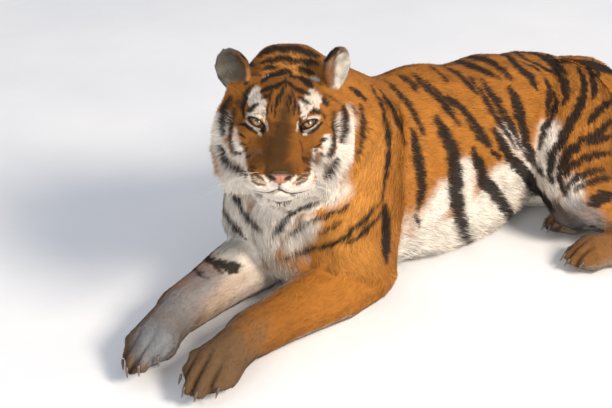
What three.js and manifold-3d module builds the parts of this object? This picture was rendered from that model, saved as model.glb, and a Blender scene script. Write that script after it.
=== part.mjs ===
// A life-size adult Siberian tiger at rest: it lies on its chest with both forelegs stretched out in front,
// its hindquarters rolled on to the right hip, both hind feet out on the left, and its head turned left.
// Millimetres, +Z up. The tiger faces -Y, its left side is +X, and the origin lies under the breastbone on
// the floor plane. The solids reach to the tips of the coat.
import * as THREE from "three";
import Module from "manifold-3d";

const wasm = await Module();
wasm.setup();

// ---------------------------------------------------------------- driving dimensions
const GAP = 0.4; // clearance between neighbouring solids
const FLOOR_DEPTH = 200; // thickness of the block that trims the undersides flat
const HEAD_YAW = 46; // degrees that the face is turned to the left of the trunk
const HEAD_PITCH = 27; // degrees that the face is lifted
const HEAD_ROLL = 2; // degrees that the head leans to its left
const EYE_SPACING = 119; // between the eyes' centres
const EYE_RADIUS = 20;
const EYES_AT = [160, -290, 615]; // the point midway between the eyes
const TOE_COUNT = 4;
const PAW = { length: 262, width: 138, height: 92 };
const HIND_PAW = { length: 174, width: 112, height: 78 };
const CLAW = { length: 14, root: 6, tip: 1.6, rays: 5 };
const EAR = { width: 43, depth: 22, height: 54, wall: 8, pitch: 0.1 };
const TAIL_ROOT = 62;
const TAIL_TIP = 40;
const TAIL_SWELL = 8; // the tail is this much thicker half way along

const point = (x, y, z) => new THREE.Vector3(x, y, z);
const LEFT = 1;
const RIGHT = -1;

const COAT = { ginger: 0xc8762c, pale: 0xe9dcc6, dark: 0x1d1712, amber: 0xb8913a, pink: 0xb5705c };
const FINISH = {
  [COAT.ginger]: { roughness: 0.85, metalness: 0 },
  [COAT.pale]: { roughness: 0.9, metalness: 0 },
  [COAT.dark]: { roughness: 0.4, metalness: 0 },
  [COAT.amber]: { roughness: 0.1, metalness: 0 },
  [COAT.pink]: { roughness: 0.55, metalness: 0 },
};

// ---------------------------------------------------------------- soft shapes
// A mass is a signed distance in millimetres. Limbs taper from one joint to the next, eggs are ellipsoids.
const limb = (a, b, ra, rb) => {
  const ab = b.clone().sub(a);
  const length2 = ab.lengthSq();
  const ap = new THREE.Vector3();
  return (p) => {
    const h = THREE.MathUtils.clamp(ap.subVectors(p, a).dot(ab) / length2, 0, 1);
    return ap.addScaledVector(ab, -h).length() - THREE.MathUtils.lerp(ra, rb, h);
  };
};

// turn holds the egg's own rotation in degrees about X, Y and Z.
const egg = (centre, radii, turn = [0, 0, 0]) => {
  const spin = new THREE.Quaternion()
    .setFromEuler(new THREE.Euler(...turn.map(THREE.MathUtils.degToRad)))
    .invert();
  const q = new THREE.Vector3();
  const [rx, ry, rz] = radii;
  return (p) => {
    q.subVectors(p, centre).applyQuaternion(spin);
    const k0 = Math.hypot(q.x / rx, q.y / ry, q.z / rz);
    const k1 = Math.hypot(q.x / rx ** 2, q.y / ry ** 2, q.z / rz ** 2);
    return k1 > 1e-9 ? (k0 * (k0 - 1)) / k1 : -Math.min(rx, ry, rz);
  };
};

// The masses melt into each other over about `soft` millimetres; hollows press into the result with an
// edge rounded over `rim` millimetres.
const blend = (masses, soft, hollows = []) => (p) => {
  let sum = 0;
  for (const mass of masses) sum += Math.exp(-mass(p) / soft);
  let d = -soft * Math.log(Math.max(sum, Number.MIN_VALUE));
  const rim = soft * 0.8;
  for (const hollow of hollows) {
    const h = -hollow(p);
    const mix = Math.max(rim - Math.abs(d - h), 0) / rim;
    d = Math.max(d, h) + (mix * mix * rim) / 4;
  }
  return d;
};

const STEP = 6;
const BISECTIONS = 14;
const FARTHEST = 900;

// Distance from an inner point along a ray to the field's surface.
const reach = (field, from, direction) => {
  const p = new THREE.Vector3();
  let low = 0;
  let high = STEP;
  while (high < FARTHEST && field(p.copy(from).addScaledVector(direction, high)) < 0) {
    low = high;
    high += STEP;
  }
  for (let i = 0; i < BISECTIONS; i++) {
    const middle = (low + high) / 2;
    if (field(p.copy(from).addScaledVector(direction, middle)) < 0) low = middle;
    else high = middle;
  }
  return (low + high) / 2;
};

// A closed skin round a spine: rings of rays are cast from the spine to the field's surface, and the last
// rings at both ends swing round to a pole. grow pushes the whole surface outwards.
const wrap = (spinePoints, field, { rings, rays, caps = 3, grow = 0, up = point(0, 0, 1) }) => {
  const spine = new THREE.CatmullRomCurve3(spinePoints);
  const stations = [];
  for (let i = 1; i <= caps; i++) stations.push({ t: 0, lean: -90 + (90 * i) / (caps + 1) });
  for (let i = 0; i <= rings; i++) stations.push({ t: i / rings, lean: 0 });
  for (let i = caps; i >= 1; i--) stations.push({ t: 1, lean: 90 - (90 * i) / (caps + 1) });

  const vertices = [];
  const cast = (from, direction) => {
    const out = from.clone().addScaledVector(direction, reach(field, from, direction) + grow);
    vertices.push(out.x, out.y, out.z);
  };
  cast(spine.getPointAt(0), spine.getTangentAt(0).negate());
  for (const { t, lean } of stations) {
    const from = spine.getPointAt(t);
    const along = spine.getTangentAt(t);
    const side = new THREE.Vector3().crossVectors(along, up).normalize();
    const over = new THREE.Vector3().crossVectors(side, along).normalize();
    const tilt = THREE.MathUtils.degToRad(lean);
    for (let k = 0; k < rays; k++) {
      const angle = (2 * Math.PI * k) / rays;
      const direction = side.clone().multiplyScalar(Math.cos(angle)).addScaledVector(over, Math.sin(angle));
      cast(from, direction.multiplyScalar(Math.cos(tilt)).addScaledVector(along, Math.sin(tilt)));
    }
  }
  cast(spine.getPointAt(1), spine.getTangentAt(1));

  const triangles = [];
  const lastRow = stations.length - 1;
  const last = vertices.length / 3 - 1;
  const index = (row, k) => 1 + row * rays + (k % rays);
  for (let k = 0; k < rays; k++) {
    triangles.push(0, index(0, k), index(0, k + 1));
    for (let row = 0; row < lastRow; row++) {
      triangles.push(index(row, k), index(row + 1, k), index(row + 1, k + 1));
      triangles.push(index(row, k), index(row + 1, k + 1), index(row, k + 1));
    }
    triangles.push(last, index(lastRow, k + 1), index(lastRow, k));
  }
  return solid(vertices, triangles);
};

// ---------------------------------------------------------------- solids
const solid = (vertices, triangles) => {
  const make = (order) => {
    const vertProperties = new Float32Array(vertices);
    const triVerts = new Uint32Array(order);
    return new wasm.Manifold(new wasm.Mesh({ numProp: 3, vertProperties, triVerts }));
  };
  const made = make(triangles);
  if (made.volume() > 0) return made;
  const flipped = [];
  for (let i = 0; i < triangles.length; i += 3) {
    flipped.push(triangles[i], triangles[i + 2], triangles[i + 1]);
  }
  return make(flipped);
};

// Joins a three.js geometry's doubled corners, to the nearest micrometre, and closes it.
const MICROMETRES = 1000;
const fromGeometry = (geometry) => {
  const seen = new Map();
  const vertices = [];
  const flat = geometry.index ? geometry.toNonIndexed() : geometry;
  const position = flat.getAttribute("position");
  const order = [];
  for (let i = 0; i < position.count; i++) {
    const xyz = [position.getX(i), position.getY(i), position.getZ(i)];
    const key = xyz.map((c) => Math.round(c * MICROMETRES)).join();
    if (!seen.has(key)) {
      seen.set(key, vertices.length / 3);
      vertices.push(...xyz);
    }
    order.push(seen.get(key));
  }
  const kept = [];
  for (let i = 0; i < order.length; i += 3) {
    const [a, b, c] = order.slice(i, i + 3);
    if (a !== b && b !== c && c !== a) kept.push(a, b, c);
  }
  return solid(vertices, kept);
};

const largest = (made) => made.decompose().sort((a, b) => b.volume() - a.volume())[0];

const floorBlock = fromGeometry(
  new THREE.BoxGeometry(4000, 5000, FLOOR_DEPTH).translate(0, 0, -FLOOR_DEPTH / 2),
);

// ---------------------------------------------------------------- the head's own frame
// Origin midway between the eyes, +X to the tiger's left, -Y the way it faces, +Z up.
const head = new THREE.Group();
head.rotation.set(
  THREE.MathUtils.degToRad(-HEAD_PITCH),
  THREE.MathUtils.degToRad(HEAD_ROLL),
  THREE.MathUtils.degToRad(HEAD_YAW),
  "ZXY",
);
head.position.set(...EYES_AT);
head.updateMatrixWorld(true);
const headPoint = (x, y, z) => point(x, y, z).applyMatrix4(head.matrixWorld);
const inHead = (field) => {
  const inverse = head.matrixWorld.clone().invert();
  const q = new THREE.Vector3();
  return (p) => field(q.copy(p).applyMatrix4(inverse));
};
const bothSides = (make) => [make(LEFT), make(RIGHT)];

// ---------------------------------------------------------------- masses of each part
// How far the masses of a part melt into each other.
const SOFT = {
  skull: 9,
  nose: 5,
  neck: 20,
  trunk: 26,
  upperArm: 22,
  forearm: 16,
  thigh: 24,
  shank: 14,
  foot: 7,
  claw: 2,
  tail: 8,
};

const skullMasses = [
  egg(point(0, 140, 14), [106, 112, 100]), // back of the skull
  egg(point(0, 150, 66), [88, 92, 60]), // crown
  egg(point(0, 80, 42), [90, 92, 72]), // forehead
  limb(point(0, 60, -120), point(0, -56, -142), 66, 30), // lower jaw
  egg(point(0, -74, -148), [36, 38, 22]), // chin
  ...bothSides((s) => limb(point(s * 19, 14, -4), point(s * 17, -88, -98), 32, 28)), // bridge of the nose
  ...bothSides((s) => egg(point(s * 74, 46, -46), [54, 66, 62])), // cheekbone
  ...bothSides((s) => egg(point(s * 120, 112, -44), [50, 46, 98], [0, s * 7, 0])), // ruff
  ...bothSides((s) => egg(point(s * 82, 104, -112), [60, 54, 52])), // jowl
  ...bothSides((s) => egg(point(s * 46, -80, -126), [44, 48, 35])), // whisker pad
  ...bothSides((s) => egg(point(s * 52, 18, 32), [34, 30, 18])), // brow
  ...bothSides((s) => egg(point(s * 96, 98, 72), [48, 46, 46])), // base of the ear
];
const skullHollows = bothSides((s) => egg(point(s * 64, -32, -2), [29, 30, 17], [0, s * 8, 0]));
const skull = inHead(blend(skullMasses, SOFT.skull, skullHollows));

const noseMasses = [egg(point(0, -124, -117), [31, 14, 12]), egg(point(0, -124, -130), [17, 12, 14])];
const nosePad = inHead(blend(noseMasses, SOFT.nose));

const neckMasses = [
  limb(point(-5, 140, 430), headPoint(0, 200, 108), 112, 112), // nape
  limb(point(0, 60, 420), headPoint(0, 176, 10), 136, 124),
  limb(point(5, -50, 360), headPoint(0, 146, -92), 132, 108), // throat
];
const trunkMasses = [
  egg(point(0, 50, 258), [176, 245, 280]), // chest
  egg(point(0, 140, 420), [96, 160, 120]), // withers
  egg(point(12, -80, 240), [112, 122, 170]), // breast
  egg(point(-6, 350, 238), [182, 270, 250]), // ribs
  egg(point(-10, 610, 227), [178, 260, 232]), // loins
  egg(point(-30, 840, 182), [176, 240, 208], [0, -16, 0]), // pelvis, rolled to the right
  egg(point(-54, 1070, 164), [146, 206, 150], [0, -16, 0]), // rump
  egg(point(70, 440, 95), [110, 270, 98], [0, 10, -4]), // belly
];

const shoulders = {
  [LEFT]: {
    top: point(82, 110, 455),
    point: point(128, -95, 250),
    elbow: point(138, 20, 88),
    wrist: point(142, -390, 74),
    toes: point(204, -646, 54),
    roll: 0,
  },
  [RIGHT]: {
    top: point(-80, 110, 455),
    point: point(-138, -126, 244),
    elbow: point(-132, -30, 88),
    wrist: point(-58, -440, 78),
    toes: point(44, -694, 58),
    roll: 22,
  },
};
const upperArmMasses = (s) => [
  limb(shoulders[s].top, shoulders[s].point, 76, 98),
  limb(shoulders[s].point, shoulders[s].elbow, 98, 84),
  egg(point(s * 126, 20, 250), [84, 140, 180]),
];
const forearmMasses = (s) => [
  limb(shoulders[s].elbow, shoulders[s].wrist, 84, 66),
  egg(shoulders[s].elbow.clone().lerp(shoulders[s].wrist, 0.28), [80, 130, 84]),
];

const hips = {
  [LEFT]: {
    hip: point(50, 900, 235),
    knee: point(322, 655, 136),
    hock: point(540, 820, 66),
    ball: point(478, 655, 50),
    toes: point(398, 500, 46),
    roll: 0,
  },
  [RIGHT]: {
    hip: point(-90, 900, 150),
    knee: point(60, 690, 92),
    hock: point(330, 930, 60),
    ball: point(296, 770, 50),
    toes: point(252, 612, 46),
    roll: 14,
  },
};
const thighMasses = (s) => [
  limb(hips[s].hip, hips[s].knee, 150, 92),
  egg(hips[s].hip.clone().lerp(hips[s].knee, 0.35), [140, 180, 140], [0, 0, s === LEFT ? 40 : 20]),
];
const shankMasses = (s) => [limb(hips[s].knee, hips[s].hock, 84, 55)];

const tailLine = [
  point(-72, 1190, 138),
  point(-74, 1280, 78),
  point(-20, 1372, 53),
  point(120, 1440, 50),
  point(300, 1440, 50),
  point(450, 1360, 48),
  point(530, 1230, 45),
];

// A foot's own frame: forward along the toes, across to the tiger's left, and over the back of the foot.
const footFrame = (from, to, rollDegrees) => {
  const forward = to.clone().sub(from).normalize();
  const over = point(0, 0, 1).addScaledVector(forward, -forward.z).normalize();
  over.applyAxisAngle(forward, THREE.MathUtils.degToRad(rollDegrees));
  const across = new THREE.Vector3().crossVectors(over, forward).normalize();
  return (f, a, o) =>
    from.clone().addScaledVector(forward, f).addScaledVector(across, a).addScaledVector(over, o);
};

// Shares of the foot's length, width and height.
const FOOT = { instep: 0.5, pad: 0.55, padHalfWidth: 0.2, heelRadius: 0.62, padRadius: 0.5 };
const TOE = { spread: 0.26, setBack: 0.072, thick: 0.15, thin: 0.135, knuckleRise: 0.16, tipDrop: 0.14 };
// How far behind the foot's front end each toe's parts begin, in millimetres.
const BEHIND = { knuckle: 62, toeTip: 24, claw: 6 };
const CLAW_DROP = { root: 0.02, tip: 0.24 };

const toeLines = (frame, { length, width, height }) =>
  Array.from({ length: TOE_COUNT }, (_, i) => {
    const side = i - (TOE_COUNT - 1) / 2;
    const front = length * (1 - TOE.setBack * side * side);
    const a = side * width * TOE.spread;
    return {
      knuckle: frame(front - BEHIND.knuckle, a * 0.92, height * TOE.knuckleRise),
      tip: frame(front - BEHIND.toeTip, a, -height * TOE.tipDrop),
      claw: frame(front - BEHIND.claw, a, -height * CLAW_DROP.root),
      clawTip: frame(front - BEHIND.claw + CLAW.length, a, -height * CLAW_DROP.tip),
    };
  });
const footMasses = (frame, size) => {
  const { length, width, height } = size;
  const pad = (side) => frame(length * FOOT.pad, side * width * FOOT.padHalfWidth, -4);
  const heelRadius = height * FOOT.heelRadius;
  const padRadius = height * FOOT.padRadius;
  const toes = toeLines(frame, size).map(({ knuckle, tip }) =>
    limb(knuckle, tip, width * TOE.thick, width * TOE.thin),
  );
  return [
    limb(frame(0, 0, 0), frame(length * FOOT.instep, 0, 2), heelRadius, heelRadius),
    limb(pad(-1), pad(1), padRadius, padRadius),
    ...toes,
  ];
};
const forefoot = (s) => {
  const { wrist, toes, roll } = shoulders[s];
  return { frame: footFrame(wrist, toes, roll), size: PAW, heel: [] };
};
const hindFoot = (s) => {
  const { hock, ball, toes, roll } = hips[s];
  return { frame: footFrame(ball, toes, roll), size: HIND_PAW, heel: [hock.clone().lerp(ball, 0.12)] };
};
const feet = {
  left_forepaw: { ...forefoot(LEFT), neighbours: ["left_forearm"] },
  right_forepaw: { ...forefoot(RIGHT), neighbours: ["right_forearm"] },
  left_hind_foot: { ...hindFoot(LEFT), neighbours: ["trunk", "left_shank", "left_thigh"] },
  right_hind_foot: {
    ...hindFoot(RIGHT),
    neighbours: ["trunk", "right_shank", "left_thigh", "left_shank", "left_hind_foot"],
  },
};

// ---------------------------------------------------------------- the parts, largest first
const parts = new Map(); // name -> { made, colour }
const grown = new Map(); // name -> the same solid, larger by the gap

const addWrapped = (name, colour, spine, field, detail, neighbours = []) => {
  let made = wrap(spine, field, detail).subtract(floorBlock);
  for (const n of neighbours) made = made.subtract(grown.get(n));
  parts.set(name, { made: largest(made), colour });
  grown.set(name, wrap(spine, field, { ...detail, grow: GAP }));
};

addWrapped("trunk", COAT.ginger,
  [point(12, -70, 240), point(0, 160, 260), point(-5, 450, 230), point(-15, 700, 205), point(-50, 1050, 168)],
  blend(trunkMasses, SOFT.trunk), { rings: 11, rays: 20 });

addWrapped("nose", COAT.pink, [headPoint(0, -121, -117), headPoint(0, -123, -131)], nosePad,
  { rings: 1, rays: 10, caps: 2 });
const eyes = bothSides((s) => {
  const name = s === LEFT ? "left_eye" : "right_eye";
  const centre = headPoint((s * EYE_SPACING) / 2, -2, 4);
  const ball = (r) => fromGeometry(new THREE.SphereGeometry(r, 12, 8).translate(...centre));
  parts.set(name, { made: ball(EYE_RADIUS), colour: COAT.amber });
  grown.set(name, ball(EYE_RADIUS + GAP));
  return name;
});
addWrapped("head", COAT.ginger,
  [headPoint(0, 130, -10), headPoint(0, 50, -30), headPoint(0, -30, -76), headPoint(0, -74, -112)],
  skull, { rings: 11, rays: 25 }, ["nose", ...eyes]);

addWrapped("neck", COAT.pale, [point(0, 60, 400), point(5, -20, 440), headPoint(0, 160, -40)],
  blend(neckMasses, SOFT.neck), { rings: 5, rays: 16, caps: 2 }, ["trunk", "head"]);

// Each ear is a thick cup. lean tips it away from the crown and turn swings its opening outwards, in radians.
const ears = {
  left_ear: { centre: headPoint(122, 74, 140), lean: 0.4, turn: 0.95 },
  right_ear: { centre: headPoint(-122, 74, 128), lean: -0.52, turn: -0.35 },
};
for (const [name, { centre, lean, turn }] of Object.entries(ears)) {
  const spin = new THREE.Quaternion().setFromEuler(new THREE.Euler(EAR.pitch, lean, turn, "ZYX"));
  const pose = new THREE.Matrix4().makeRotationFromQuaternion(head.quaternion.clone().multiply(spin));
  pose.setPosition(centre);
  const shell = (w, d, h, forward) => {
    const shape = new THREE.SphereGeometry(1, 12, 8).scale(w, d, h).translate(0, forward, 0);
    return fromGeometry(shape.applyMatrix4(pose));
  };
  const made = shell(EAR.width, EAR.depth, EAR.height, 0)
    .subtract(shell(EAR.width - EAR.wall, EAR.depth + 2, EAR.height - EAR.wall, -EAR.depth * 0.75))
    .subtract(grown.get("head"))
    .subtract(grown.get("neck"));
  parts.set(name, { made: largest(made), colour: COAT.ginger });
}

for (const s of [LEFT, RIGHT]) {
  const side = s === LEFT ? "left" : "right";
  const { top, elbow, wrist } = shoulders[s];
  const middle = top.clone().lerp(elbow, 0.58).add(point(s * 12, -98, 12));
  addWrapped(`${side}_shoulder`, COAT.ginger, [top, middle, elbow.clone().add(point(0, -12, 22))],
    blend(upperArmMasses(s), SOFT.upperArm), { rings: 5, rays: 12, caps: 2, up: point(0, -1, 0) },
    ["trunk", "neck", "head"]);
  addWrapped(`${side}_forearm`, COAT.ginger, [elbow, wrist], blend(forearmMasses(s), SOFT.forearm),
    { rings: 4, rays: 12, caps: 2 }, ["trunk", "neck", `${side}_shoulder`]);
  const { hip, knee, hock } = hips[s];
  addWrapped(`${side}_thigh`, COAT.ginger, [hip, knee], blend(thighMasses(s), SOFT.thigh),
    { rings: 4, rays: 14, caps: 2 }, s === LEFT ? ["trunk"] : ["trunk", "left_thigh"]);
  addWrapped(`${side}_shank`, COAT.ginger, [knee, hock], blend(shankMasses(s), SOFT.shank),
    { rings: 4, rays: 12, caps: 2 },
    s === LEFT ? ["trunk", "left_thigh"] : ["trunk", "left_thigh", "right_thigh", "left_shank"]);
}

for (const [name, { frame, size, heel, neighbours }] of Object.entries(feet)) {
  const sole = [frame(12, 0, 0), frame(size.length * FOOT.instep, 0, 0), frame(size.length - 40, 0, 0)];
  const masses = footMasses(frame, size);
  if (heel.length > 0) masses.push(limb(heel[0], sole[0], size.height * 0.66, size.height * 0.6));
  addWrapped(name, COAT.ginger, [...heel, ...sole], blend(masses, SOFT.foot),
    { rings: heel.length > 0 ? 7 : 6, rays: 15 }, neighbours);
  toeLines(frame, size).forEach(({ claw, clawTip }, i) => {
    addWrapped(`${name}_claw_${i + 1}`, COAT.dark, [claw, clawTip],
      blend([limb(claw, clawTip, CLAW.root, CLAW.tip)], SOFT.claw), { rings: 1, rays: CLAW.rays, caps: 0 },
      [name, ...neighbours]);
  });
}

// ---------------------------------------------------------------- tail
const tailCurve = new THREE.CatmullRomCurve3(tailLine);
const TAIL_STATIONS = 16;
const TAIL_TAPER = 1.6; // the tail reaches its tip's radius at 1 / TAIL_TAPER of its length
const tailRadius = (t) =>
  THREE.MathUtils.lerp(TAIL_ROOT, TAIL_TIP, Math.min(1, t * TAIL_TAPER)) + TAIL_SWELL * Math.sin(Math.PI * t);
const tailMasses = Array.from({ length: TAIL_STATIONS }, (_, i) => {
  const t0 = i / TAIL_STATIONS;
  const t1 = (i + 1) / TAIL_STATIONS;
  return limb(tailCurve.getPointAt(t0), tailCurve.getPointAt(t1), tailRadius(t0), tailRadius(t1));
});
const addTail = (name, from, to, rings, neighbour) => {
  const spine = Array.from({ length: rings + 1 }, (_, i) =>
    tailCurve.getPointAt(from + ((to - from) * i) / rings),
  );
  const masses = tailMasses.slice(Math.floor(from * TAIL_STATIONS), Math.ceil(to * TAIL_STATIONS));
  addWrapped(name, COAT.ginger, spine, blend(masses, SOFT.tail), { rings, rays: 9, caps: 2 }, [neighbour]);
};
addTail("tail_root", 0, 0.45, 7, "trunk");
addTail("tail_end", 0.45, 1, 8, "tail_root");

// ---------------------------------------------------------------- the scene
const toMesh = (name, { made, colour }) => {
  const { numProp, vertProperties, triVerts } = made.getMesh();
  const geometry = new THREE.BufferGeometry();
  geometry.setAttribute("position", new THREE.BufferAttribute(new Float32Array(vertProperties), numProp));
  geometry.setIndex(new THREE.BufferAttribute(new Uint32Array(triVerts), 1));
  const material = new THREE.MeshStandardMaterial({ color: colour, ...FINISH[colour] });
  const mesh = new THREE.Mesh(geometry, material);
  mesh.name = name;
  return mesh;
};

const tiger = new THREE.Group();
tiger.name = "tiger";
for (const [name, part] of parts) tiger.add(toMesh(name, part));

export default tiger;
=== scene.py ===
"""A Siberian tiger at rest: skin, coat, eyes, nose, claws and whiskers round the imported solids."""
import math

import bpy
import numpy as np
from mathutils import Matrix, Vector
from mathutils.bvhtree import BVHTree
from mathutils.kdtree import KDTree


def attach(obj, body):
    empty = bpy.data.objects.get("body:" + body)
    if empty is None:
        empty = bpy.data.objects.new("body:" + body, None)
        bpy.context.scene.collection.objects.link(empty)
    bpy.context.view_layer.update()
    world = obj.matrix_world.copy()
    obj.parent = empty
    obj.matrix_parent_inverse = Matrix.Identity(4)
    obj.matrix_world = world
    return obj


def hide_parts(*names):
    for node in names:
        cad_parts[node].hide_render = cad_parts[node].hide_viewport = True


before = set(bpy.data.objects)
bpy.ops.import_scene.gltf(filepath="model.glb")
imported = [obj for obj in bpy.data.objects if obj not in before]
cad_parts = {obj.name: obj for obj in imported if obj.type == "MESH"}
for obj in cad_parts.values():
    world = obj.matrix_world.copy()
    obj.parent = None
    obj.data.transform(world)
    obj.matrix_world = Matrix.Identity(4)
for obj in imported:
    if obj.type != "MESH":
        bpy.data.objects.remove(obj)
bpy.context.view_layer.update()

LEFT, RIGHT = 1, -1

# ---------------------------------------------------------------- camera
PHOTO_WIDTH, PHOTO_HEIGHT = 612, 408
AZIMUTH, ELEVATION = math.radians(46), math.radians(28)
DISTANCE = 4.3  # metres from the eyes, along the view
PHOTO_SCALE = 430  # pixels per metre at the eyes
EYES_AT = Vector((0.160, -0.290, 0.615))  # midway between the eyes
EYES_PIXEL = (282.5, 125)
SENSOR = 36  # millimetres

VIEW_RIGHT = Vector((math.cos(AZIMUTH), math.sin(AZIMUTH), 0))
VIEW_BACK = Vector((
    math.sin(AZIMUTH) * math.cos(ELEVATION),
    -math.cos(AZIMUTH) * math.cos(ELEVATION),
    math.sin(ELEVATION),
))
VIEW_UP = VIEW_BACK.cross(VIEW_RIGHT)
FOCAL_PIXELS = PHOTO_SCALE * DISTANCE
CAMERA_AT = (
    EYES_AT + VIEW_BACK * DISTANCE
    - VIEW_RIGHT * ((EYES_PIXEL[0] - PHOTO_WIDTH / 2) / PHOTO_SCALE)
    + VIEW_UP * ((EYES_PIXEL[1] - PHOTO_HEIGHT / 2) / PHOTO_SCALE)
)


def make_camera():
    data = bpy.data.cameras.new("camera")
    data.sensor_width = SENSOR
    data.lens = FOCAL_PIXELS / PHOTO_WIDTH * SENSOR
    camera = bpy.data.objects.new("camera", data)
    bpy.context.scene.collection.objects.link(camera)
    camera.matrix_world = Matrix((VIEW_RIGHT, VIEW_UP, VIEW_BACK)).transposed().to_4x4()
    camera.location = CAMERA_AT
    bpy.context.scene.camera = camera


def pixel_direction(u, v):
    """The direction from the camera through a pixel of the photograph."""
    across = (u - PHOTO_WIDTH / 2) / FOCAL_PIXELS
    upward = (PHOTO_HEIGHT / 2 - v) / FOCAL_PIXELS
    return (VIEW_RIGHT * across + VIEW_UP * upward - VIEW_BACK).normalized()


# ---------------------------------------------------------------- the head's own frame
# Origin midway between the eyes, +X to the tiger's left, -Y the way it faces, +Z up. Metres.
HEAD_YAW, HEAD_PITCH, HEAD_ROLL = (math.radians(a) for a in (46, 27, 2))
HEAD_ROWS = np.array(
    Matrix.Rotation(HEAD_YAW, 3, "Z")
    @ Matrix.Rotation(-HEAD_PITCH, 3, "X")
    @ Matrix.Rotation(HEAD_ROLL, 3, "Y")
)
EYE_SPACING, EYE_RADIUS = 0.119, 0.020
EYE_CENTRE = np.array([EYE_SPACING / 2, -0.002, 0.004])  # of the left eye; the right one has -X


def to_head(points):
    return (np.asarray(points) - np.array(EYES_AT)) @ HEAD_ROWS


def from_head(points):
    return np.asarray(points) @ HEAD_ROWS.T + np.array(EYES_AT)


# ---------------------------------------------------------------- meshes as arrays
def read_mesh(mesh):
    """Vertex places and triangles."""
    mesh.calc_loop_triangles()
    co = np.zeros(len(mesh.vertices) * 3)
    mesh.vertices.foreach_get("co", co)
    tri = np.zeros(len(mesh.loop_triangles) * 3, np.int32)
    mesh.loop_triangles.foreach_get("vertices", tri)
    return co.reshape(-1, 3), tri.reshape(-1, 3)


def joined(meshes):
    """Several (places, triangles) pairs as one pair, and which of them each triangle came from."""
    starts = np.cumsum([0] + [len(co) for co, _ in meshes])
    co = np.concatenate([co for co, _ in meshes])
    tri = np.concatenate([tri + start for (_, tri), start in zip(meshes, starts)])
    return co, tri, np.repeat(np.arange(len(meshes)), [len(tri) for _, tri in meshes])


def ring_triangles(grid):
    """Two triangles for each cell of a grid of corners whose columns close into a ring."""
    beside = np.roll(grid, -1, axis=1)
    a, b, c, d = (g.ravel() for g in (grid[:-1], grid[1:], beside[1:], beside[:-1]))
    return np.concatenate([np.stack([a, b, c], 1), np.stack([a, c, d], 1)])


def new_object(name, co, faces):
    """A smooth-shaded mesh object; the faces all have the same number of corners."""
    co, faces = np.asarray(co, np.float32), np.asarray(faces, np.int32)
    mesh = bpy.data.meshes.new(name)
    mesh.vertices.add(len(co))
    mesh.vertices.foreach_set("co", co.ravel())
    mesh.loops.add(faces.size)
    mesh.loops.foreach_set("vertex_index", faces.ravel())
    mesh.polygons.add(len(faces))
    mesh.polygons.foreach_set("loop_start", np.arange(0, faces.size, faces.shape[1], dtype=np.int32))
    mesh.update(calc_edges=True)
    mesh.polygons.foreach_set("use_smooth", np.ones(len(faces), bool))
    piece = bpy.data.objects.new(name, mesh)
    bpy.context.scene.collection.objects.link(piece)
    return piece


def with_modifier(piece, kind, **settings):
    """Applies one modifier to the piece's mesh."""
    modifier = piece.modifiers.new(kind, kind)
    for key, value in settings.items():
        setattr(modifier, key, value)
    graph = bpy.context.evaluated_depsgraph_get()
    mesh = bpy.data.meshes.new_from_object(piece.evaluated_get(graph))
    piece.modifiers.clear()
    piece.data = mesh
    return piece


def set_colours(piece, name, colours):
    """A colour for each vertex, in linear light."""
    attribute = piece.data.attributes.new(name, "FLOAT_COLOR", "POINT")
    rgba = np.ones((len(colours), 4), np.float32)
    rgba[:, :3] = colours
    attribute.data.foreach_set("color", rgba.ravel())


def smoothstep(low, high, x):
    t = np.clip((x - low) / (high - low), 0, 1)
    return t * t * (3 - 2 * t)


def unit(vectors):
    return vectors / np.linalg.norm(vectors, axis=-1, keepdims=True).clip(1e-12)


WAVES = 6  # in one ripple
WAVE_PITCH = 2.6  # radians of wave across a bump
WAVE_PHASE = 6.28  # radians, about a full turn
WAVE_PEAK = 3.2  # the usual peak of the waves' sum


def ripple(points, size, seed):
    """Smooth noise between about -1 and 1, whose bumps are about size across."""
    waves = np.random.default_rng(seed)
    total = np.zeros(len(points))
    for _ in range(WAVES):
        direction = waves.normal(size=3)
        wave = direction / np.linalg.norm(direction) * WAVE_PITCH / size
        total += np.sin(points @ wave + waves.uniform(0, WAVE_PHASE))
    return total / WAVE_PEAK


def along_line(points, line):
    """How far along the line each point lies, its distance from it, and the line's direction there."""
    far, along, heading, start = np.full(len(points), np.inf), np.zeros(len(points)), np.zeros_like(points), 0.0
    for a, b in zip(line[:-1], line[1:]):
        length = np.linalg.norm(b - a)
        t = np.clip((points - a) @ (b - a) / length**2, 0, 1)
        gap = np.linalg.norm(points - a - t[:, None] * (b - a), axis=1)
        closer = gap < far
        far[closer], along[closer] = gap[closer], (start + t * length)[closer]
        heading[closer] = (b - a) / length
        start += length
    return along, far, heading


TAUBIN_STEPS = (0.6, -0.61)


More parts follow.
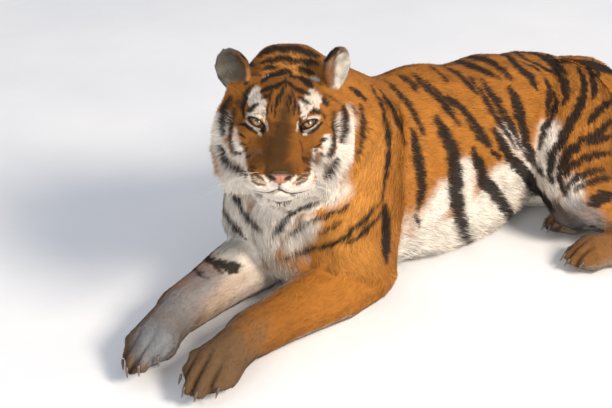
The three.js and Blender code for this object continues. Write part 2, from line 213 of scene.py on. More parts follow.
class Surface:
    """A triangle mesh with the neighbour sums that smoothing needs."""

    def __init__(self, co, tri):
        self.co, self.tri = co.copy(), tri
        pairs = np.concatenate([tri[:, [0, 1]], tri[:, [1, 2]], tri[:, [2, 0]]])
        pairs = np.unique(np.sort(pairs, axis=1), axis=0)
        self.ends = np.concatenate([pairs[:, 0], pairs[:, 1]])
        self.others = np.concatenate([pairs[:, 1], pairs[:, 0]])
        self.count = np.bincount(self.ends, minlength=len(co)).clip(1)

    def average(self, values):
        """Each vertex's mean over its neighbours."""
        columns = values.reshape(len(self.co), -1)
        out = np.stack([
            np.bincount(self.ends, weights=c[self.others], minlength=len(self.co)) / self.count
            for c in columns.T
        ], axis=1)
        return out.reshape(values.shape)

    def relax(self, rounds, weight):
        """Smooths away facets and keeps the volume, in Taubin's pairs of steps."""
        for _ in range(rounds):
            for step in TAUBIN_STEPS:
                self.co += (self.average(self.co) - self.co) * step * weight[:, None]

    def soften(self, values, rounds):
        for _ in range(rounds):
            values = 0.5 * values + 0.5 * self.average(values)
        return values

    def tree(self):
        return BVHTree.FromPolygons(self.co.tolist(), self.tri.tolist())

    def normals(self):
        a, b, c = (self.co[self.tri[:, k]] for k in range(3))
        face = np.cross(b - a, c - a)
        out = np.zeros_like(self.co)
        for k in range(3):
            for axis in range(3):
                out[:, axis] += np.bincount(self.tri[:, k], weights=face[:, axis], minlength=len(out))
        return unit(out)


# ---------------------------------------------------------------- the skin
SKIN_VOXEL = 0.0048
FLESH = [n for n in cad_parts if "claw" not in n and "eye" not in n and n != "nose"]
# How deep the skin lies inside the solids, in metres, by the end of a node's name: the coat fills it.
COAT_DEPTH = {
    "trunk": 0.003, "neck": 0.005, "head": 0.003, "ear": 0.001, "shoulder": 0.005, "forearm": 0.005,
    "forepaw": 0.003, "thigh": 0.004, "shank": 0.005, "hind_foot": 0.003, "tail_root": 0.008, "tail_end": 0.008,
}
COAT_DEPTH_ROUNDS = 16  # of softening, so that the skin has no step between nodes
SMOOTHING = {"ear": 0.15, "forepaw": 0.2, "hind_foot": 0.2, "head": 0.3, "shank": 0.5}  # 1 for the others
SMOOTHING_ROUNDS = 90
BORDER_ROUNDS = 8  # of softening, for the borders of a smoothed region
FLOOR_CLEARANCE = 0.0008


def by_part(table):
    """The table's value for each flesh node; it has one for every kind, or else 1 is taken."""
    return np.array([next((value for part, value in table.items() if n.endswith(part)), 1.0) for n in FLESH])


def flesh_mesh():
    """All the flesh nodes' meshes as one, and each triangle's node. The nose goes in as a part of the head."""
    co, tri, owner = joined([read_mesh(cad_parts[node].data) for node in (*FLESH, "nose")])
    return co, tri, np.where(owner == len(FLESH), FLESH.index("head"), owner)


def largest_part(co, tri):
    """Keeps the connected piece with the most vertices."""
    label = np.arange(len(co))
    while True:
        low = np.minimum.reduce([label[tri[:, k]] for k in range(3)])
        new = label.copy()
        for k in range(3):
            np.minimum.at(new, tri[:, k], low)
        new = new[new]
        if np.array_equal(new, label):
            break
        label = new
    keep = label == np.bincount(label).argmax()
    index = np.cumsum(keep) - 1
    return co[keep], index[tri[keep[tri[:, 0]]]]


def remeshed(name, co, tri, voxel):
    """The outer surface of closed meshes that overlap, in even triangles."""
    rough = new_object(name, co, tri)
    with_modifier(rough, "REMESH", mode="VOXEL", voxel_size=voxel, adaptivity=0)
    surface = Surface(*largest_part(*read_mesh(rough.data)))
    bpy.data.objects.remove(rough)
    return surface


def split_triangles(co, tri, chosen):
    """Cuts each chosen triangle in four, and its neighbours so that no gap opens."""
    edges = np.sort(np.concatenate([tri[:, [0, 1]], tri[:, [1, 2]], tri[:, [2, 0]]]), axis=1)
    key, inverse = np.unique(edges, axis=0, return_inverse=True)
    inverse = inverse.reshape(3, -1).T
    cut = np.zeros(len(key), bool)
    cut[inverse[chosen].ravel()] = True
    middle = np.full(len(key), -1)
    middle[cut] = len(co) + np.arange(cut.sum())
    co = np.concatenate([co, co[key[cut]].mean(axis=1)])
    mids, count = middle[inverse], cut[inverse].sum(axis=1)
    out = [tri[count == 0]]
    full, m = tri[count == 3], mids[count == 3]
    out += [
        np.stack([full[:, 0], m[:, 0], m[:, 2]], 1), np.stack([m[:, 0], full[:, 1], m[:, 1]], 1),
        np.stack([m[:, 2], m[:, 1], full[:, 2]], 1), m,
    ]
    for k in range(3):  # the corner order turns so that the first side is the cut one
        a, b, c = k, (k + 1) % 3, (k + 2) % 3
        one = (count == 1) & (mids[:, a] >= 0)
        t, m = tri[one], mids[one]
        out += [np.stack([t[:, a], m[:, a], t[:, c]], 1), np.stack([m[:, a], t[:, b], t[:, c]], 1)]
        two = (count == 2) & (mids[:, c] < 0)
        t, m = tri[two], mids[two]
        out += [
            np.stack([m[:, a], t[:, b], m[:, b]], 1), np.stack([t[:, a], m[:, a], m[:, b]], 1),
            np.stack([t[:, a], m[:, b], t[:, c]], 1),
        ]
    return co, np.concatenate(out)


def in_box(points, low, high):
    return ((points > low) & (points < high)).all(axis=1)


# Boxes in the head's frame, as two corners.
FACE_BOX = ((-0.13, -0.25, -0.20), (0.13, 0.05, 0.11))
FINE_FACE_BOX = ((-0.095, -0.25, -0.175), (0.095, 0.02, 0.045))
SHORT_HAIR_BOX = ((-0.10, -0.25, -0.19), (0.10, 0.04, 0.10))


def refine_face(co, tri):
    for box in (FACE_BOX, FINE_FACE_BOX):
        co, tri = split_triangles(co, tri, in_box(to_head(co[tri].mean(axis=1)), *box))
    return co, tri


# ---------------------------------------------------------------- the face's forms, in the head's frame
# The slit between the lids: its turn, its shift outwards from the ball's centre, and its half sizes.
SLIT = {"slant": math.radians(30), "shift": 0.001, "half_length": 0.0215, "upper": 0.0062, "lower": 0.0078}
SLIT_POWER, SLIT_LEAST = 0.75, 0.02  # how round the slit's ends are, and the least share of its height
DUCT = {"from": -0.034, "to": -0.016, "half_height": 0.0022}  # the slit's thin inner corner
LID = {"thickness": 0.0022, "rim": 0.0016, "rim_width": 0.003, "reach": 0.034, "full": 0.017}
LID_FOLD = {"depth": 0.0022, "at": 0.008, "width": 0.003}  # the crease above and below
SOCKET_DEPTH = 0.014  # how far the skin inside the slit is pushed behind the ball's front


def lid_gap(p, side):
    """Distance from the slit's rim, in metres: negative inside."""
    u, w = side * p[:, 0] - EYE_CENTRE[0] - SLIT["shift"], p[:, 2] - EYE_CENTRE[2]
    c, s = math.cos(SLIT["slant"]), math.sin(SLIT["slant"])
    along, across = u * c + w * s, w * c - u * s  # inwards is negative
    share = np.abs(along) / SLIT["half_length"]
    height = np.where(across > 0, SLIT["upper"], SLIT["lower"])
    height = height * np.clip(1 - share**2, SLIT_LEAST, 1) ** SLIT_POWER
    duct = smoothstep(DUCT["from"], DUCT["to"], along) * (along < 0) * DUCT["half_height"]
    beyond = np.clip(np.abs(along) - SLIT["half_length"], 0, None)
    above = np.abs(across) - np.maximum(height, duct)
    return np.hypot(above.clip(0), beyond) - (-above).clip(0)


def shape_lids(p):
    for side in (LEFT, RIGHT):
        centre = EYE_CENTRE * (side, 1, 1)
        r = np.hypot(p[:, 0] - centre[0], p[:, 2] - centre[2])
        near = (r < 0.040) & (p[:, 1] < 0.03)
        gap = lid_gap(p, side)
        ball = EYE_RADIUS + LID["thickness"]
        front = centre[1] - np.sqrt(ball**2 - np.minimum(r, ball * 0.98) ** 2)
        fold = LID_FOLD["depth"] * np.exp(-((gap - LID_FOLD["at"]) / LID_FOLD["width"]) ** 2)
        lid = front - LID["rim"] * smoothstep(0.0, LID["rim_width"], gap) + fold
        weight = smoothstep(LID["reach"], LID["full"], r)
        y = p[:, 1] * (1 - weight) + np.minimum(lid, p[:, 1] + EYE_RADIUS) * weight
        y = np.where(gap < 0, centre[1] - EYE_RADIUS + SOCKET_DEPTH, y)
        p[near, 1] = y[near]


# Grooves in the face: a path in the head's X and Z, the depth and the width. Those of the sides are the left's.
MOUTH = ([(-0.070, -0.150), (-0.045, -0.160), (-0.020, -0.158), (0, -0.148),
          (0.020, -0.158), (0.045, -0.160), (0.070, -0.150)], 0.012, 0.0042)
PHILTRUM = ([(0, -0.134), (0, -0.150)], 0.008, 0.0030)
NOSE_SIDE = ([(0.034, -0.100), (0.040, -0.126)], 0.004, 0.006)
PAD_ROWS = [
    ([(0.030, z - 0.004), (0.072, z + 0.004)], 0.0012, 0.0022) for z in (-0.112, -0.122, -0.132, -0.142)
]
GROOVE_FRONT = (0.02, -0.03)  # from no depth to full depth, along the head's Y
# The room behind the nose pad.
NOSE_BED = {"half_width": 0.027, "half_height": 0.0115, "z": -0.1225, "depth": 0.009}


def groove(p, side, path, depth, width):
    """Presses a line into the front of the face."""
    far = along_line(p[:, [0, 2]], np.array(path) * (side, 1))[1]
    p[:, 1] += depth * np.exp(-((far / width) ** 2)) * smoothstep(*GROOVE_FRONT, p[:, 1])


def shape_face(p):
    shape_lids(p)
    groove(p, 1, *MOUTH)
    groove(p, 1, *PHILTRUM)
    off_nose = np.hypot(p[:, 0] / NOSE_BED["half_width"], (p[:, 2] - NOSE_BED["z"]) / NOSE_BED["half_height"])
    p[:, 1] += NOSE_BED["depth"] * smoothstep(1.0, 0.7, off_nose) * smoothstep(0.0, -0.06, p[:, 1])
    for side in (LEFT, RIGHT):
        for line in (NOSE_SIDE, *PAD_ROWS):
            groove(p, side, *line)


# What each flesh node is, without its side, and its side: 0 for those in the middle.
KIND = [n.removeprefix("left_").removeprefix("right_") for n in FLESH]
SIDE = np.array([n.startswith("left_") * LEFT + n.startswith("right_") * RIGHT for n in FLESH])


def of_kind(node, *kinds):
    return np.isin(node, [i for i, kind in enumerate(KIND) if kind in kinds])


# ---------------------------------------------------------------- legs
# Each leg's joints, from the top down to the toes' tips.
FORELEGS = {
    LEFT: [(0.082, 0.110, 0.455), (0.128, -0.095, 0.250), (0.138, 0.020, 0.088), (0.142, -0.390, 0.074),
           (0.204, -0.646, 0.054)],
    RIGHT: [(-0.080, 0.110, 0.455), (-0.138, -0.126, 0.244), (-0.132, -0.030, 0.088), (-0.058, -0.440, 0.078),
            (0.044, -0.694, 0.058)],
}
HINDLEGS = {
    LEFT: [(0.050, 0.900, 0.235), (0.322, 0.655, 0.136), (0.540, 0.820, 0.066), (0.478, 0.655, 0.050),
           (0.398, 0.500, 0.046)],
    RIGHT: [(-0.090, 0.900, 0.150), (0.060, 0.690, 0.092), (0.330, 0.930, 0.060), (0.296, 0.770, 0.050),
            (0.252, 0.612, 0.046)],
}
# The legs' joints, their nodes, and the joint where the lower leg starts: the elbow or the knee.
LEGS = ((FORELEGS, ("shoulder", "forearm", "forepaw"), 2), (HINDLEGS, ("thigh", "shank", "hind_foot"), 1))
# Each foot's distance between toes, and its turn about its own length, by kind and side.
TOE_PITCH = {"forepaw": 0.036, "hind_foot": 0.029}
FOOT_ROLL = {("forepaw", RIGHT): math.radians(22), ("hind_foot", RIGHT): math.radians(14)}
TOE_GAP = {"width": 0.0060, "depth": 0.0085, "along": (0.50, 0.80), "facing_up": (-0.6, 0.0)}


def toe_gap(p, node):
    """1 in the middle of the gaps between toes, 0 away from them."""
    gap = np.zeros(len(p))
    for lines, (_, _, foot), _ in LEGS:
        for side, line in lines.items():
            chosen = of_kind(node, foot) & (SIDE[node] == side)
            start, end = np.array(line[-2:])
            length, forward = np.linalg.norm(end - start), unit(end - start)
            across = unit(np.cross((0.0, 0.0, 1.0), forward))
            roll = FOOT_ROLL.get((foot, side), 0.0)
            across = across * math.cos(roll) - np.cross(forward, across) * math.sin(roll)
            place = (p[chosen] - start) @ across / TOE_PITCH[foot]
            off = (place - np.clip(np.round(place), -1, 1)) * TOE_PITCH[foot]
            along = (p[chosen] - start) @ forward / length
            gap[chosen] = np.exp(-((off / TOE_GAP["width"]) ** 2)) * smoothstep(*TOE_GAP["along"], along)
    return gap


def legs(node):
    """For each leg: its joints, the joint where its lower part starts, and which of these places are on it."""
    for lines, kinds, lower_from in LEGS:
        for side, line in lines.items():
            yield np.array(line), lower_from, of_kind(node, *kinds) & (SIDE[node] == side)


# ---------------------------------------------------------------- the skin, from the solids to its last shape
# Where the outline of the bare skin is lifted or pressed to follow the photograph's: the pixel at the middle,
# the radius and the height, in metres.
OUTLINE = (((318, 66), 0.060, 0.018), ((427, 86), 0.135, 0.034), ((594, 62), 0.140, -0.022))
# The shoulder is melted into the flank behind, before and above these planes, each a fade from none to full.
SEAM = {"front": (-0.25, -0.10), "back": (0.42, 0.28), "bottom": (0.06, 0.14)}
SEAM_ROUNDS = 90
# Rounds of smoothing before the face is shaped and after it, and of softening at the face's border.
FACE_ROUNDS = {"before": 6, "border_before": 4, "after": 1, "border_after": 2}


def melt_shoulders(surface, node):
    y, z = surface.co[:, 1], surface.co[:, 2]
    seam = smoothstep(*SEAM["front"], y) * smoothstep(*SEAM["back"], y) * smoothstep(*SEAM["bottom"], z)
    seam = surface.soften(seam * of_kind(node, "shoulder", "trunk", "neck"), BORDER_ROUNDS)[:, None]
    surface.co = surface.co * (1 - seam) + surface.soften(surface.co, SEAM_ROUNDS) * seam


def follow_outline(surface):
    for pixel, radius, height in OUTLINE:
        centre = np.array(surface.tree().ray_cast(CAMERA_AT, pixel_direction(*pixel))[0])
        share = np.exp(-(np.linalg.norm(surface.co - centre, axis=1) / radius) ** 2)
        surface.co += np.array(VIEW_UP) * height * share[:, None]


def sculpt_face(surface):
    front = in_box(to_head(surface.co), *FACE_BOX)
    surface.relax(FACE_ROUNDS["before"], surface.soften(front * 1.0, FACE_ROUNDS["border_before"]))
    local = to_head(surface.co)
    face = local[front]
    shape_face(face)
    local[front] = face
    surface.co = from_head(local)
    surface.relax(FACE_ROUNDS["after"], surface.soften(front * 0.5, FACE_ROUNDS["border_after"]))


def make_skin():
    flesh_co, flesh_tri, owner = flesh_mesh()
    tree = BVHTree.FromPolygons(flesh_co.tolist(), flesh_tri.tolist())

    def nearest_node():
        return owner[[tree.find_nearest(p)[2] for p in surface.co.tolist()]]

    surface = remeshed("rough", flesh_co, flesh_tri, SKIN_VOXEL)
    node = nearest_node()
    surface.relax(SMOOTHING_ROUNDS, surface.soften(by_part(SMOOTHING)[node], BORDER_ROUNDS))
    depth = surface.soften(by_part(COAT_DEPTH)[node], COAT_DEPTH_ROUNDS)
    surface.co -= surface.normals() * depth[:, None]
    melt_shoulders(surface, node)
    follow_outline(surface)
    surface = Surface(*refine_face(surface.co, surface.tri))
    sculpt_face(surface)
    normals = surface.normals()
    press = toe_gap(surface.co, nearest_node()) * smoothstep(*TOE_GAP["facing_up"], normals[:, 2])
    surface.co -= normals * (TOE_GAP["depth"] * press)[:, None]
    surface.co[:, 2] = np.maximum(surface.co[:, 2], FLOOR_CLEARANCE)
    surface.node = nearest_node()
    return surface


# ---------------------------------------------------------------- markings, placed on the photograph
# Each line is one stroke: its full width in pixels, then the pixels that it runs through.
FLANK_BLACK = """
3.5 371,86 381,103 388,130 389,150 386,175 382,200
7 385,205 386,230 386,262
4 380,90 390,105 400,125 405,145
4 385,80 398,92 412,110 420,125 425,135
4 400,76 412,84 418,92
7 412,130 417,150 421,175 421,195 418,208
4 415,215 420,225
5 413,74 425,85 440,100 452,115 460,126
3 425,80 445,98 458,110
10 436,118 443,130 452,148 455,170 456,195 459,215 464,235 470,243
6 448,97 462,110 475,125 485,140 495,155 500,158
3 465,118 478,138 492,150
9 473,150 479,165 484,182 492,190 500,200 508,212 514,224
4 470,77 480,90 488,105 498,120 508,135 517,150
6 482,80 492,95 503,112 515,135
8 495,130 502,145 512,160 524,172 535,188 545,200 552,210
9 510,88 517,105 521,125 526,145 532,160
3 503,108 513,125 517,140 525,155 537,168 550,182
3 430,66 442,75 448,83
4 445,67 460,75 472,88 478,95
6 450,60 465,63 480,70
5 470,57 490,62 503,70 512,80
5 497,51 515,52 523,57
6 505,53 517,66 530,76 537,90
6 528,50 545,58 557,68 564,82 566,98 563,105
4 540,50 556,60 566,75
4 545,78 550,90 548,105 547,115
4 552,90 557,103 551,118 542,135 540,150
6 578,68 584,80 584,95 578,110 570,125 562,140 552,155 550,170 552,182
5 585,62 592,75 595,90 592,100
4 592,60 598,70 598,80
5 612,100 598,112 588,124
6 612,120 600,132 585,140 570,152 562,165 560,180 565,195
5 612,153 597,155 580,160 568,168 565,178
4.5 604,170 590,172 578,178 569,186 567,195
4 612,177 597,180 583,186 575,190
9 612,195 600,198 590,204
4 612,135 600,140 585,145
6 625,72 632,95 628,120 612,138
7 645,80 652,105 645,130 625,150
7 665,92 670,118 662,145 640,165
7 685,105 690,135 680,160 650,180
6 640,190 665,185 690,180
4 360,105 363,120 361,145 357,160
4 350,88 358,93 367,100
"""
CHEST_BLACK = """
5 228,186 232,192 238,202 243,212 251,222 262,233
4 221,205 226,215 233,225 241,235 247,240
3 212,225 217,232 222,238
5 320,200 308,206 300,208 290,214 283,224 275,234 272,238
3.5 352,203 340,212 325,216 310,222 298,229 288,237 280,246
2.5 345,220 330,228 318,236
4.5 382,200 375,208 365,220 355,228 345,238 335,244 318,248 303,251 293,256 283,260
4 380,215 368,228 357,238 345,243
5 190,241 202,255 212,262 222,272
3 181,259 190,264 197,272 207,279
9 215,262 228,268 240,266
"""
HEAD_BLACK = """
9 258,56 266,50.5 275,48 284,49 293,48.5 301,51 309,53.5 319,56
7.5 262,62.5 272,60 284,58.5 295,60.5 305,62.5 316,63.5
5.5 261,68.8 269,67.5 277,66
6 296,67.5 305,70.5 314,74.5
6.5 262,82.5 269,77 276,74 285,72.3 293,73.5
7 289,73.5 294.5,78.5
7.5 297,76 305,81.5 312.5,87
6 262,91 270,88.5 278,86 285.5,81
6 287,82 294,88 302,91.5 309,94
4.5 262.5,98.3 271,94
4.5 279,95 277,101 276,107
3.5 283.5,87 281.5,96
4 288.5,95 291.5,105
4 298,96.5 304,100.3 309.5,103.8
2.6 297,102 299,110 299.5,119
2 293,106 294.5,115
2.6 269.5,102 267,110 266,118
2.4 272.8,104 271,114
2.6 285.6,77 285.6,88
2.8 272.5,89.5 270,96 269.3,103
2.4 281,91 280.3,104
2.8 291.5,89 294.5,98 295.5,110
2.4 287.2,101 288.8,112
2.4 275.5,109 274.5,117
5 247.5,111 253,107.8 258,103.5
4 248,111.5 255,108.5
5.5 310.5,112.3 315,110.3 319.7,112.5
6.5 253,86 247,92 244.3,100 243,108 244.5,117
4 244,84.5 249.5,81.5
5 238.5,100 234.5,109 231.5,122 230.8,134 231.3,145 234.6,152.5 239.4,153.3
9 230.5,98 225.3,108 222.3,121 222.5,134
9 220,146.7 224.2,158.3 230,165 240,171.7 246,175
4 239,124.8 245,124 251,129 256.7,133.3
3.5 238.5,133 244,137.3
3.8 240.5,144 245,144.5
3.8 243.5,151.5 247.5,147.5
3.2 245,158 249.5,154.5
7.5 323,97.5 327.5,105.5
5 321.8,112.5 324,120.5
6.5 333.5,112.5 334.3,123.3 333.6,136.7 332.3,146.7 329.5,154.2 321.7,154.8
8.5 343,106 345.3,118 344.8,131 341.5,142
10 336.7,160 331.7,168.3 326.7,176.7
3.5 349.5,104.5 357.5,114
2.2 321,92.5 332,98 341.5,104.5
4 322,123 314,130 308.3,133
4 327,138.8 320,140.8
3.6 320.5,143.5 317,146.5
3 317.5,149.5 315,151.5
2.6 311,156 313,160
2.2 314.5,158 315,162
3.8 261.5,125.5 263.3,134.2
3.8 301,128 301.7,134.5
2 279,189 273,191.5 268,192.7 259,191.8 254,190.5
2 280,189 286,192 291,193.6 300,192.6 308,190.5
1.8 279,184.5 279,189.5
6 324,62 330,55 338,49
5 242,55.5 249,61 254,67
4 255,193 262,195.5
2.5 291,195.5 300,196.5 308,194
"""
FINE_BROWN = """
4.2 249,166.3 255.5,168.3
3.2 252,170.8 257,175 263,179.5
2.6 249.8,174.8 253.5,180
2.8 252.5,181.5 257.5,184.3 264,185.2
3.2 297.3,180 303,176.2 309.8,172.6
2.6 297.5,184.8 302,183 307,179.3
2.4 302.5,180.5 305.5,175.5
4.2 305.5,170 311,169
2.2 270.5,172.5 278,173.6 288,172.5
2.5 300,141 303,151
1.6 307,150 310,155
1.6 309,146 312,150
1.8 313,145 317,149
1.8 250,141 247,145
"""
BRIDGE_BROWN = """
6 286,96 285.5,106
13 285,110 284,120
19 282.5,125 281,134
26 278,142 275.5,154 275,166
22 272,171 286,171
"""
MUZZLE_GINGER = """
34 262,150 260,164
34 302,150 300,164
44 282,130 281,164
"""
EAR_INSIDES = """
30 229,60 233,76
"""
EAR_BROWN = """
7 236,54 247,66
17 332,58 327,84
"""
PAD_TAN = """
12 257,179 268,184
12 302,180 292,184
"""
FINE_WHITE = """
11 257.5,90 253,97 251.5,103
6 248.5,113 256,111 263,108
15 257,97 258.5,106
14 309,97 309.5,107
9.5 262.5,100 260.5,111
4 246.8,116.5 255,115.3 261.5,117
3.5 264.5,112 264,119
11 311.5,91.5 315,98 317,105
9 301.5,101 304.5,110 304,117
5 307.5,106.5 313,104.5
4 304,113 309,110
4.5 309,118 319.5,117.5
2.4 263.5,119.5 267,124 267.7,131
2.4 298.3,122.5 296.6,130.5
3 246.4,121 250,126.7 255,130.7 260.7,134.8
3.2 303.7,134.7 309,131.8 314,128.8 318.7,123.8
4.5 256,73.5 262,75 268,73.3
3.5 252.5,66 258,71.5
5 311,77 318.5,80.5
6 336.5,78 338.5,87
4.5 228.5,112 227,122 226.3,137
4.5 236,128 235,141 239,148 243.5,152.5
5.5 228.3,143.3 230,156 240,161 244,168.3
4.2 339,114 338.6,130 337.2,148
8 327.5,136 326,148
4.5 321,150.5 314.5,150
6 336,150 333,158 322,163
3.6 243.6,154 243.8,161 246.2,171.5 250.5,181 256,185.8 266,187.6 276.7,187.3
2.6 264.3,176 265.5,179.5 268.5,183
2.6 295.6,176 294,179.5 291.5,183
5 314.3,151 313.3,160 313.3,169 312,176.5 308,182.8 300,186.6 290,187.8 282,187.3
7 268.5,184.5 276,184.8
7 291,184 283,184.8
3 241,181 246,186 252,189
"""
WIDE_WHITE = """
15 221,100 217,110 215.5,123.3 217,140 222,156.7 228,171.7 234,188
11 349,112 351,124 351,140 348.5,155 343.5,165 337,175 327,187
11 342.5,146 340.5,158 336,170
9 236,143 241,158
9 330,142 325,160
9 322,165 318,176
16 262,199 282,200 300,199
16 240,180 252,197
16 318,182 308,197
40 262,207 285,214 275,230 262,245
36 235,200 240,225 250,250
22 310,225 290,245
14 330,200 345,190
40 398,262 420,245 445,232
24 424,235 436,212 446,192
22 466,205 466,185 466,168
28 488,200 500,180 520,170
40 470,215 500,195 525,175
30 520,215 545,200
14 505,130 520,150 545,185
22 550,130 545,160 552,190
20 575,185 570,200
40 225,225 232,250
"""
DARK_FOOT = """
18 553,206 562,220 578,226
10 545,226 556,232
"""
# Strokes on the far foreleg and a hind foot, where their pale fur is greyed and darkened as painted shade.
SHADED_LEG_STROKES = """
50 226,240 205,262 186,288 172,312 152,345
26 575,208 594,222
"""
GINGER = np.array((0.385, 0.146, 0.023))
DEEP_GINGER = np.array((0.215, 0.078, 0.013))
CREAM = np.array((0.80, 0.735, 0.645))
# A brighter ginger: painted light where the shoulder and neck face the lights.
LIT_GINGER = np.array((0.62, 0.27, 0.056))
BLACK = np.array((0.016, 0.012, 0.010))
BROWN = np.array((0.070, 0.032, 0.009))
# The ears' grey inside: partly their own colour, partly painted shade in the hollow.
SHADED_EAR_GREY = np.array((0.105, 0.092, 0.075))
PAW_TAN = np.array((0.135, 0.084, 0.046))
PAD_GREY = np.array((0.42, 0.31, 0.22))
# The far foreleg's pale fur, greyed and darkened as painted shade.
SHADED_LEG_GREY = np.array((0.20, 0.205, 0.215))
DUSK = np.array((0.050, 0.047, 0.046))
MID_LINE = -0.01  # the trunk's middle plane, in X
STROKE_STEP = 1.5  # pixels between a stroke's samples


def strokes(text):
    for line in text.strip().splitlines():
        width, *pairs = line.split()
        yield float(width), np.array([[float(x) for x in pair.split(",")] for pair in pairs])


def stroke_samples(points, width, taper):
    """Pixels along a stroke, with the half width at each: thinner towards both ends."""
    lengths = np.linalg.norm(np.diff(points, axis=0), axis=1)
    at = np.concatenate([[0], np.cumsum(lengths)])
    steps = np.linspace(0, at[-1], max(3, int(at[-1] / STROKE_STEP)))
    share = steps / at[-1]
    slim = 1 - taper * np.abs(2 * share - 1) ** 3
    return np.interp(steps, at, points[:, 0]), np.interp(steps, at, points[:, 1]), width / 2 * slim


# For each layer: its strokes, how much wider they are drawn, how much they thin at the ends, whether the
# far side of the body repeats them, and whether they belong to the head or the body.
LAYERS = {
    # This layer is painted shade on pale fur.
    "grey": (SHADED_LEG_STROKES, 1.0, 0.1, False, "body"),
    "dusk": (DARK_FOOT, 1.0, 0.2, False, "body"),
    "wide_white": (WIDE_WHITE, 1.0, 0.1, False, None),
    "fine_white": (FINE_WHITE, 1.1, 0.4, False, "head"),
    "ginger": (MUZZLE_GINGER, 1.0, 0.0, False, "head"),
    "bridge": (BRIDGE_BROWN, 1.0, 0.0, False, "head"),
    "pads": (PAD_TAN, 1.0, 0.2, False, "head"),
    # The right ear's inside: its own grey, darkened further as painted shade.
    "ear_grey_and_shade": (EAR_INSIDES, 1.0, 0.0, False, "head"),
    "ear_brown": (EAR_BROWN, 1.0, 0.2, False, "head"),
    "fine_brown": (FINE_BROWN, 1.1, 0.3, False, "head"),
    "flank": (FLANK_BLACK, 1.7, 0.55, True, "body"),
    "chest": (CHEST_BLACK, 1.5, 0.6, False, "body"),
    "head": (HEAD_BLACK, 1.1, 0.45, False, None),
}


VIEW = np.array((VIEW_RIGHT, VIEW_UP, VIEW_BACK))
DEPTH_SHARE = 0.35  # how much distance along the view counts: slanting skin then gets marks as wide as seen
MIRROR = np.array((-1, 1, 1))


def flattened(points, view):
    return (np.asarray(points) @ view.T) * (1, 1, DEPTH_SHARE)


class Marks:
    """One layer of marks laid on the skin: how far any place is from the nearest one."""

    def __init__(self, tree, text, wider, taper, mirrored, owner):
        places, widths = [], []
        for width, points in strokes(text):
            for u, v, half in zip(*stroke_samples(points, width * wider, taper)):
                hit, _, _, far = tree.ray_cast(CAMERA_AT, pixel_direction(u, v))
                if hit is not None:
                    places.append(hit)
                    widths.append(half * far / FOCAL_PIXELS)
        self.owner, self.widths = owner, np.array(widths)
        self.sides = [(VIEW, self.stored(flattened(places, VIEW)))]
        if mirrored:
            other = [tree.find_nearest(Vector((2 * MID_LINE - p.x, p.y, p.z)))[0] for p in places]
            self.sides.append((VIEW * MIRROR, self.stored(flattened(other, VIEW * MIRROR))))

    @staticmethod
    def stored(places):
        tree = KDTree(len(places))
        for index, place in enumerate(places.tolist()):
            tree.insert(place, index)
        tree.balance()
        return tree

    def distance(self, points, on_head):
        """Metres from each point to the edge of the nearest mark; negative inside."""
        out = np.full(len(points), 1.0)
        wanted = {"head": on_head, "body": ~on_head, None: np.ones(len(points), bool)}[self.owner]
        if not wanted.any():
            return out
        for view, tree in self.sides:
            found = [tree.find(p)[1:] for p in flattened(points[wanted], view).tolist()]
            index, far = (np.array(column) for column in zip(*found))
            out[wanted] = np.minimum(out[wanted], far - self.widths[index])
        return out


TAIL_LINE = np.array([
    (-0.072, 1.190, 0.138), (-0.074, 1.280, 0.078), (-0.020, 1.372, 0.053), (0.120, 1.440, 0.050),
    (0.300, 1.440, 0.050), (0.450, 1.360, 0.048), (0.530, 1.230, 0.045),
])
TAIL_RINGS = 9
# The rump's and the nape's bars: the way they follow each other, their spacing in metres, half their share of
# it, and a seed.
UNSEEN_BARS = (((0.12, 0.55, 1.0), 0.062, 0.17, 41), ((0.1, 0.75, -0.65), 0.075, 0.14, 43))
# Extra bars where the photograph shows nothing: where each starts and ends, and its full width, in metres.
HIDDEN_BARS = [
    ((0.02, -0.04, 0.56), (-0.14, -0.06, 0.40), 0.016), ((0.02, 0.02, 0.55), (-0.16, 0.02, 0.42), 0.018),
    ((0.31, 0.70, 0.16), (0.40, 0.62, 0.08), 0.016), ((0.40, 0.76, 0.13), (0.46, 0.68, 0.05), 0.016),
    ((0.48, 0.82, 0.11), (0.52, 0.74, 0.04), 0.014), ((0.06, 0.72, 0.15), (0.14, 0.66, 0.06), 0.016),
    ((0.20, 0.84, 0.12), (0.26, 0.78, 0.05), 0.016), ((0.30, 0.94, 0.11), (0.34, 0.88, 0.04), 0.014),
    ((-0.12, -0.12, 0.16), (-0.18, -0.04, 0.12), 0.014), ((-0.10, -0.20, 0.13), (-0.16, -0.16, 0.08), 0.012),
]


# Where the coat's ground colours fade in, from the first value to the second: heights and places in metres,
# parts of the surface's normal, and shares of the leg's lower part. Some place painted light on the shoulder's
# lit side and painted shade on the far foreleg.
FADE = {
    "back_height": (0.30, 0.55), "back_facing": (0.3, 0.9),
    "lit_place": (0.30, 0.0), "lit_height": (0.10, 0.20),
    "lit_forward": (0.3, -0.2), "lit_left": (-0.1, 0.3),
    "under": (0.05, -0.55), "inner": (0.15, 0.75), "belly": (0.17, 0.07), "throat": (-0.10, -0.16),
    "lower_leg": (0.25, 0.9), "paw": (0.8, 1.25), "shade_side": (-0.75, -0.1),
}
# The left ear in the head's frame: its pale spot behind, and its middle in X.
EAR_SPOT, EAR_SPOT_EDGE, EAR_MIDDLE = (0.125, 0.095, 0.150), (0.022, 0.014), 0.118
EAR_FADE = {
    "back": (-0.05, 0.30), "base_across": (0.004, -0.022), "base_height": (0.165, 0.12), "rim": (0.172, 0.182),
}
# Places wander by the first size and marks have edges of the second, in metres, on the head and on the body.
WANDER, EDGE = (0.0012, 0.0035), (0.0016, 0.0032)
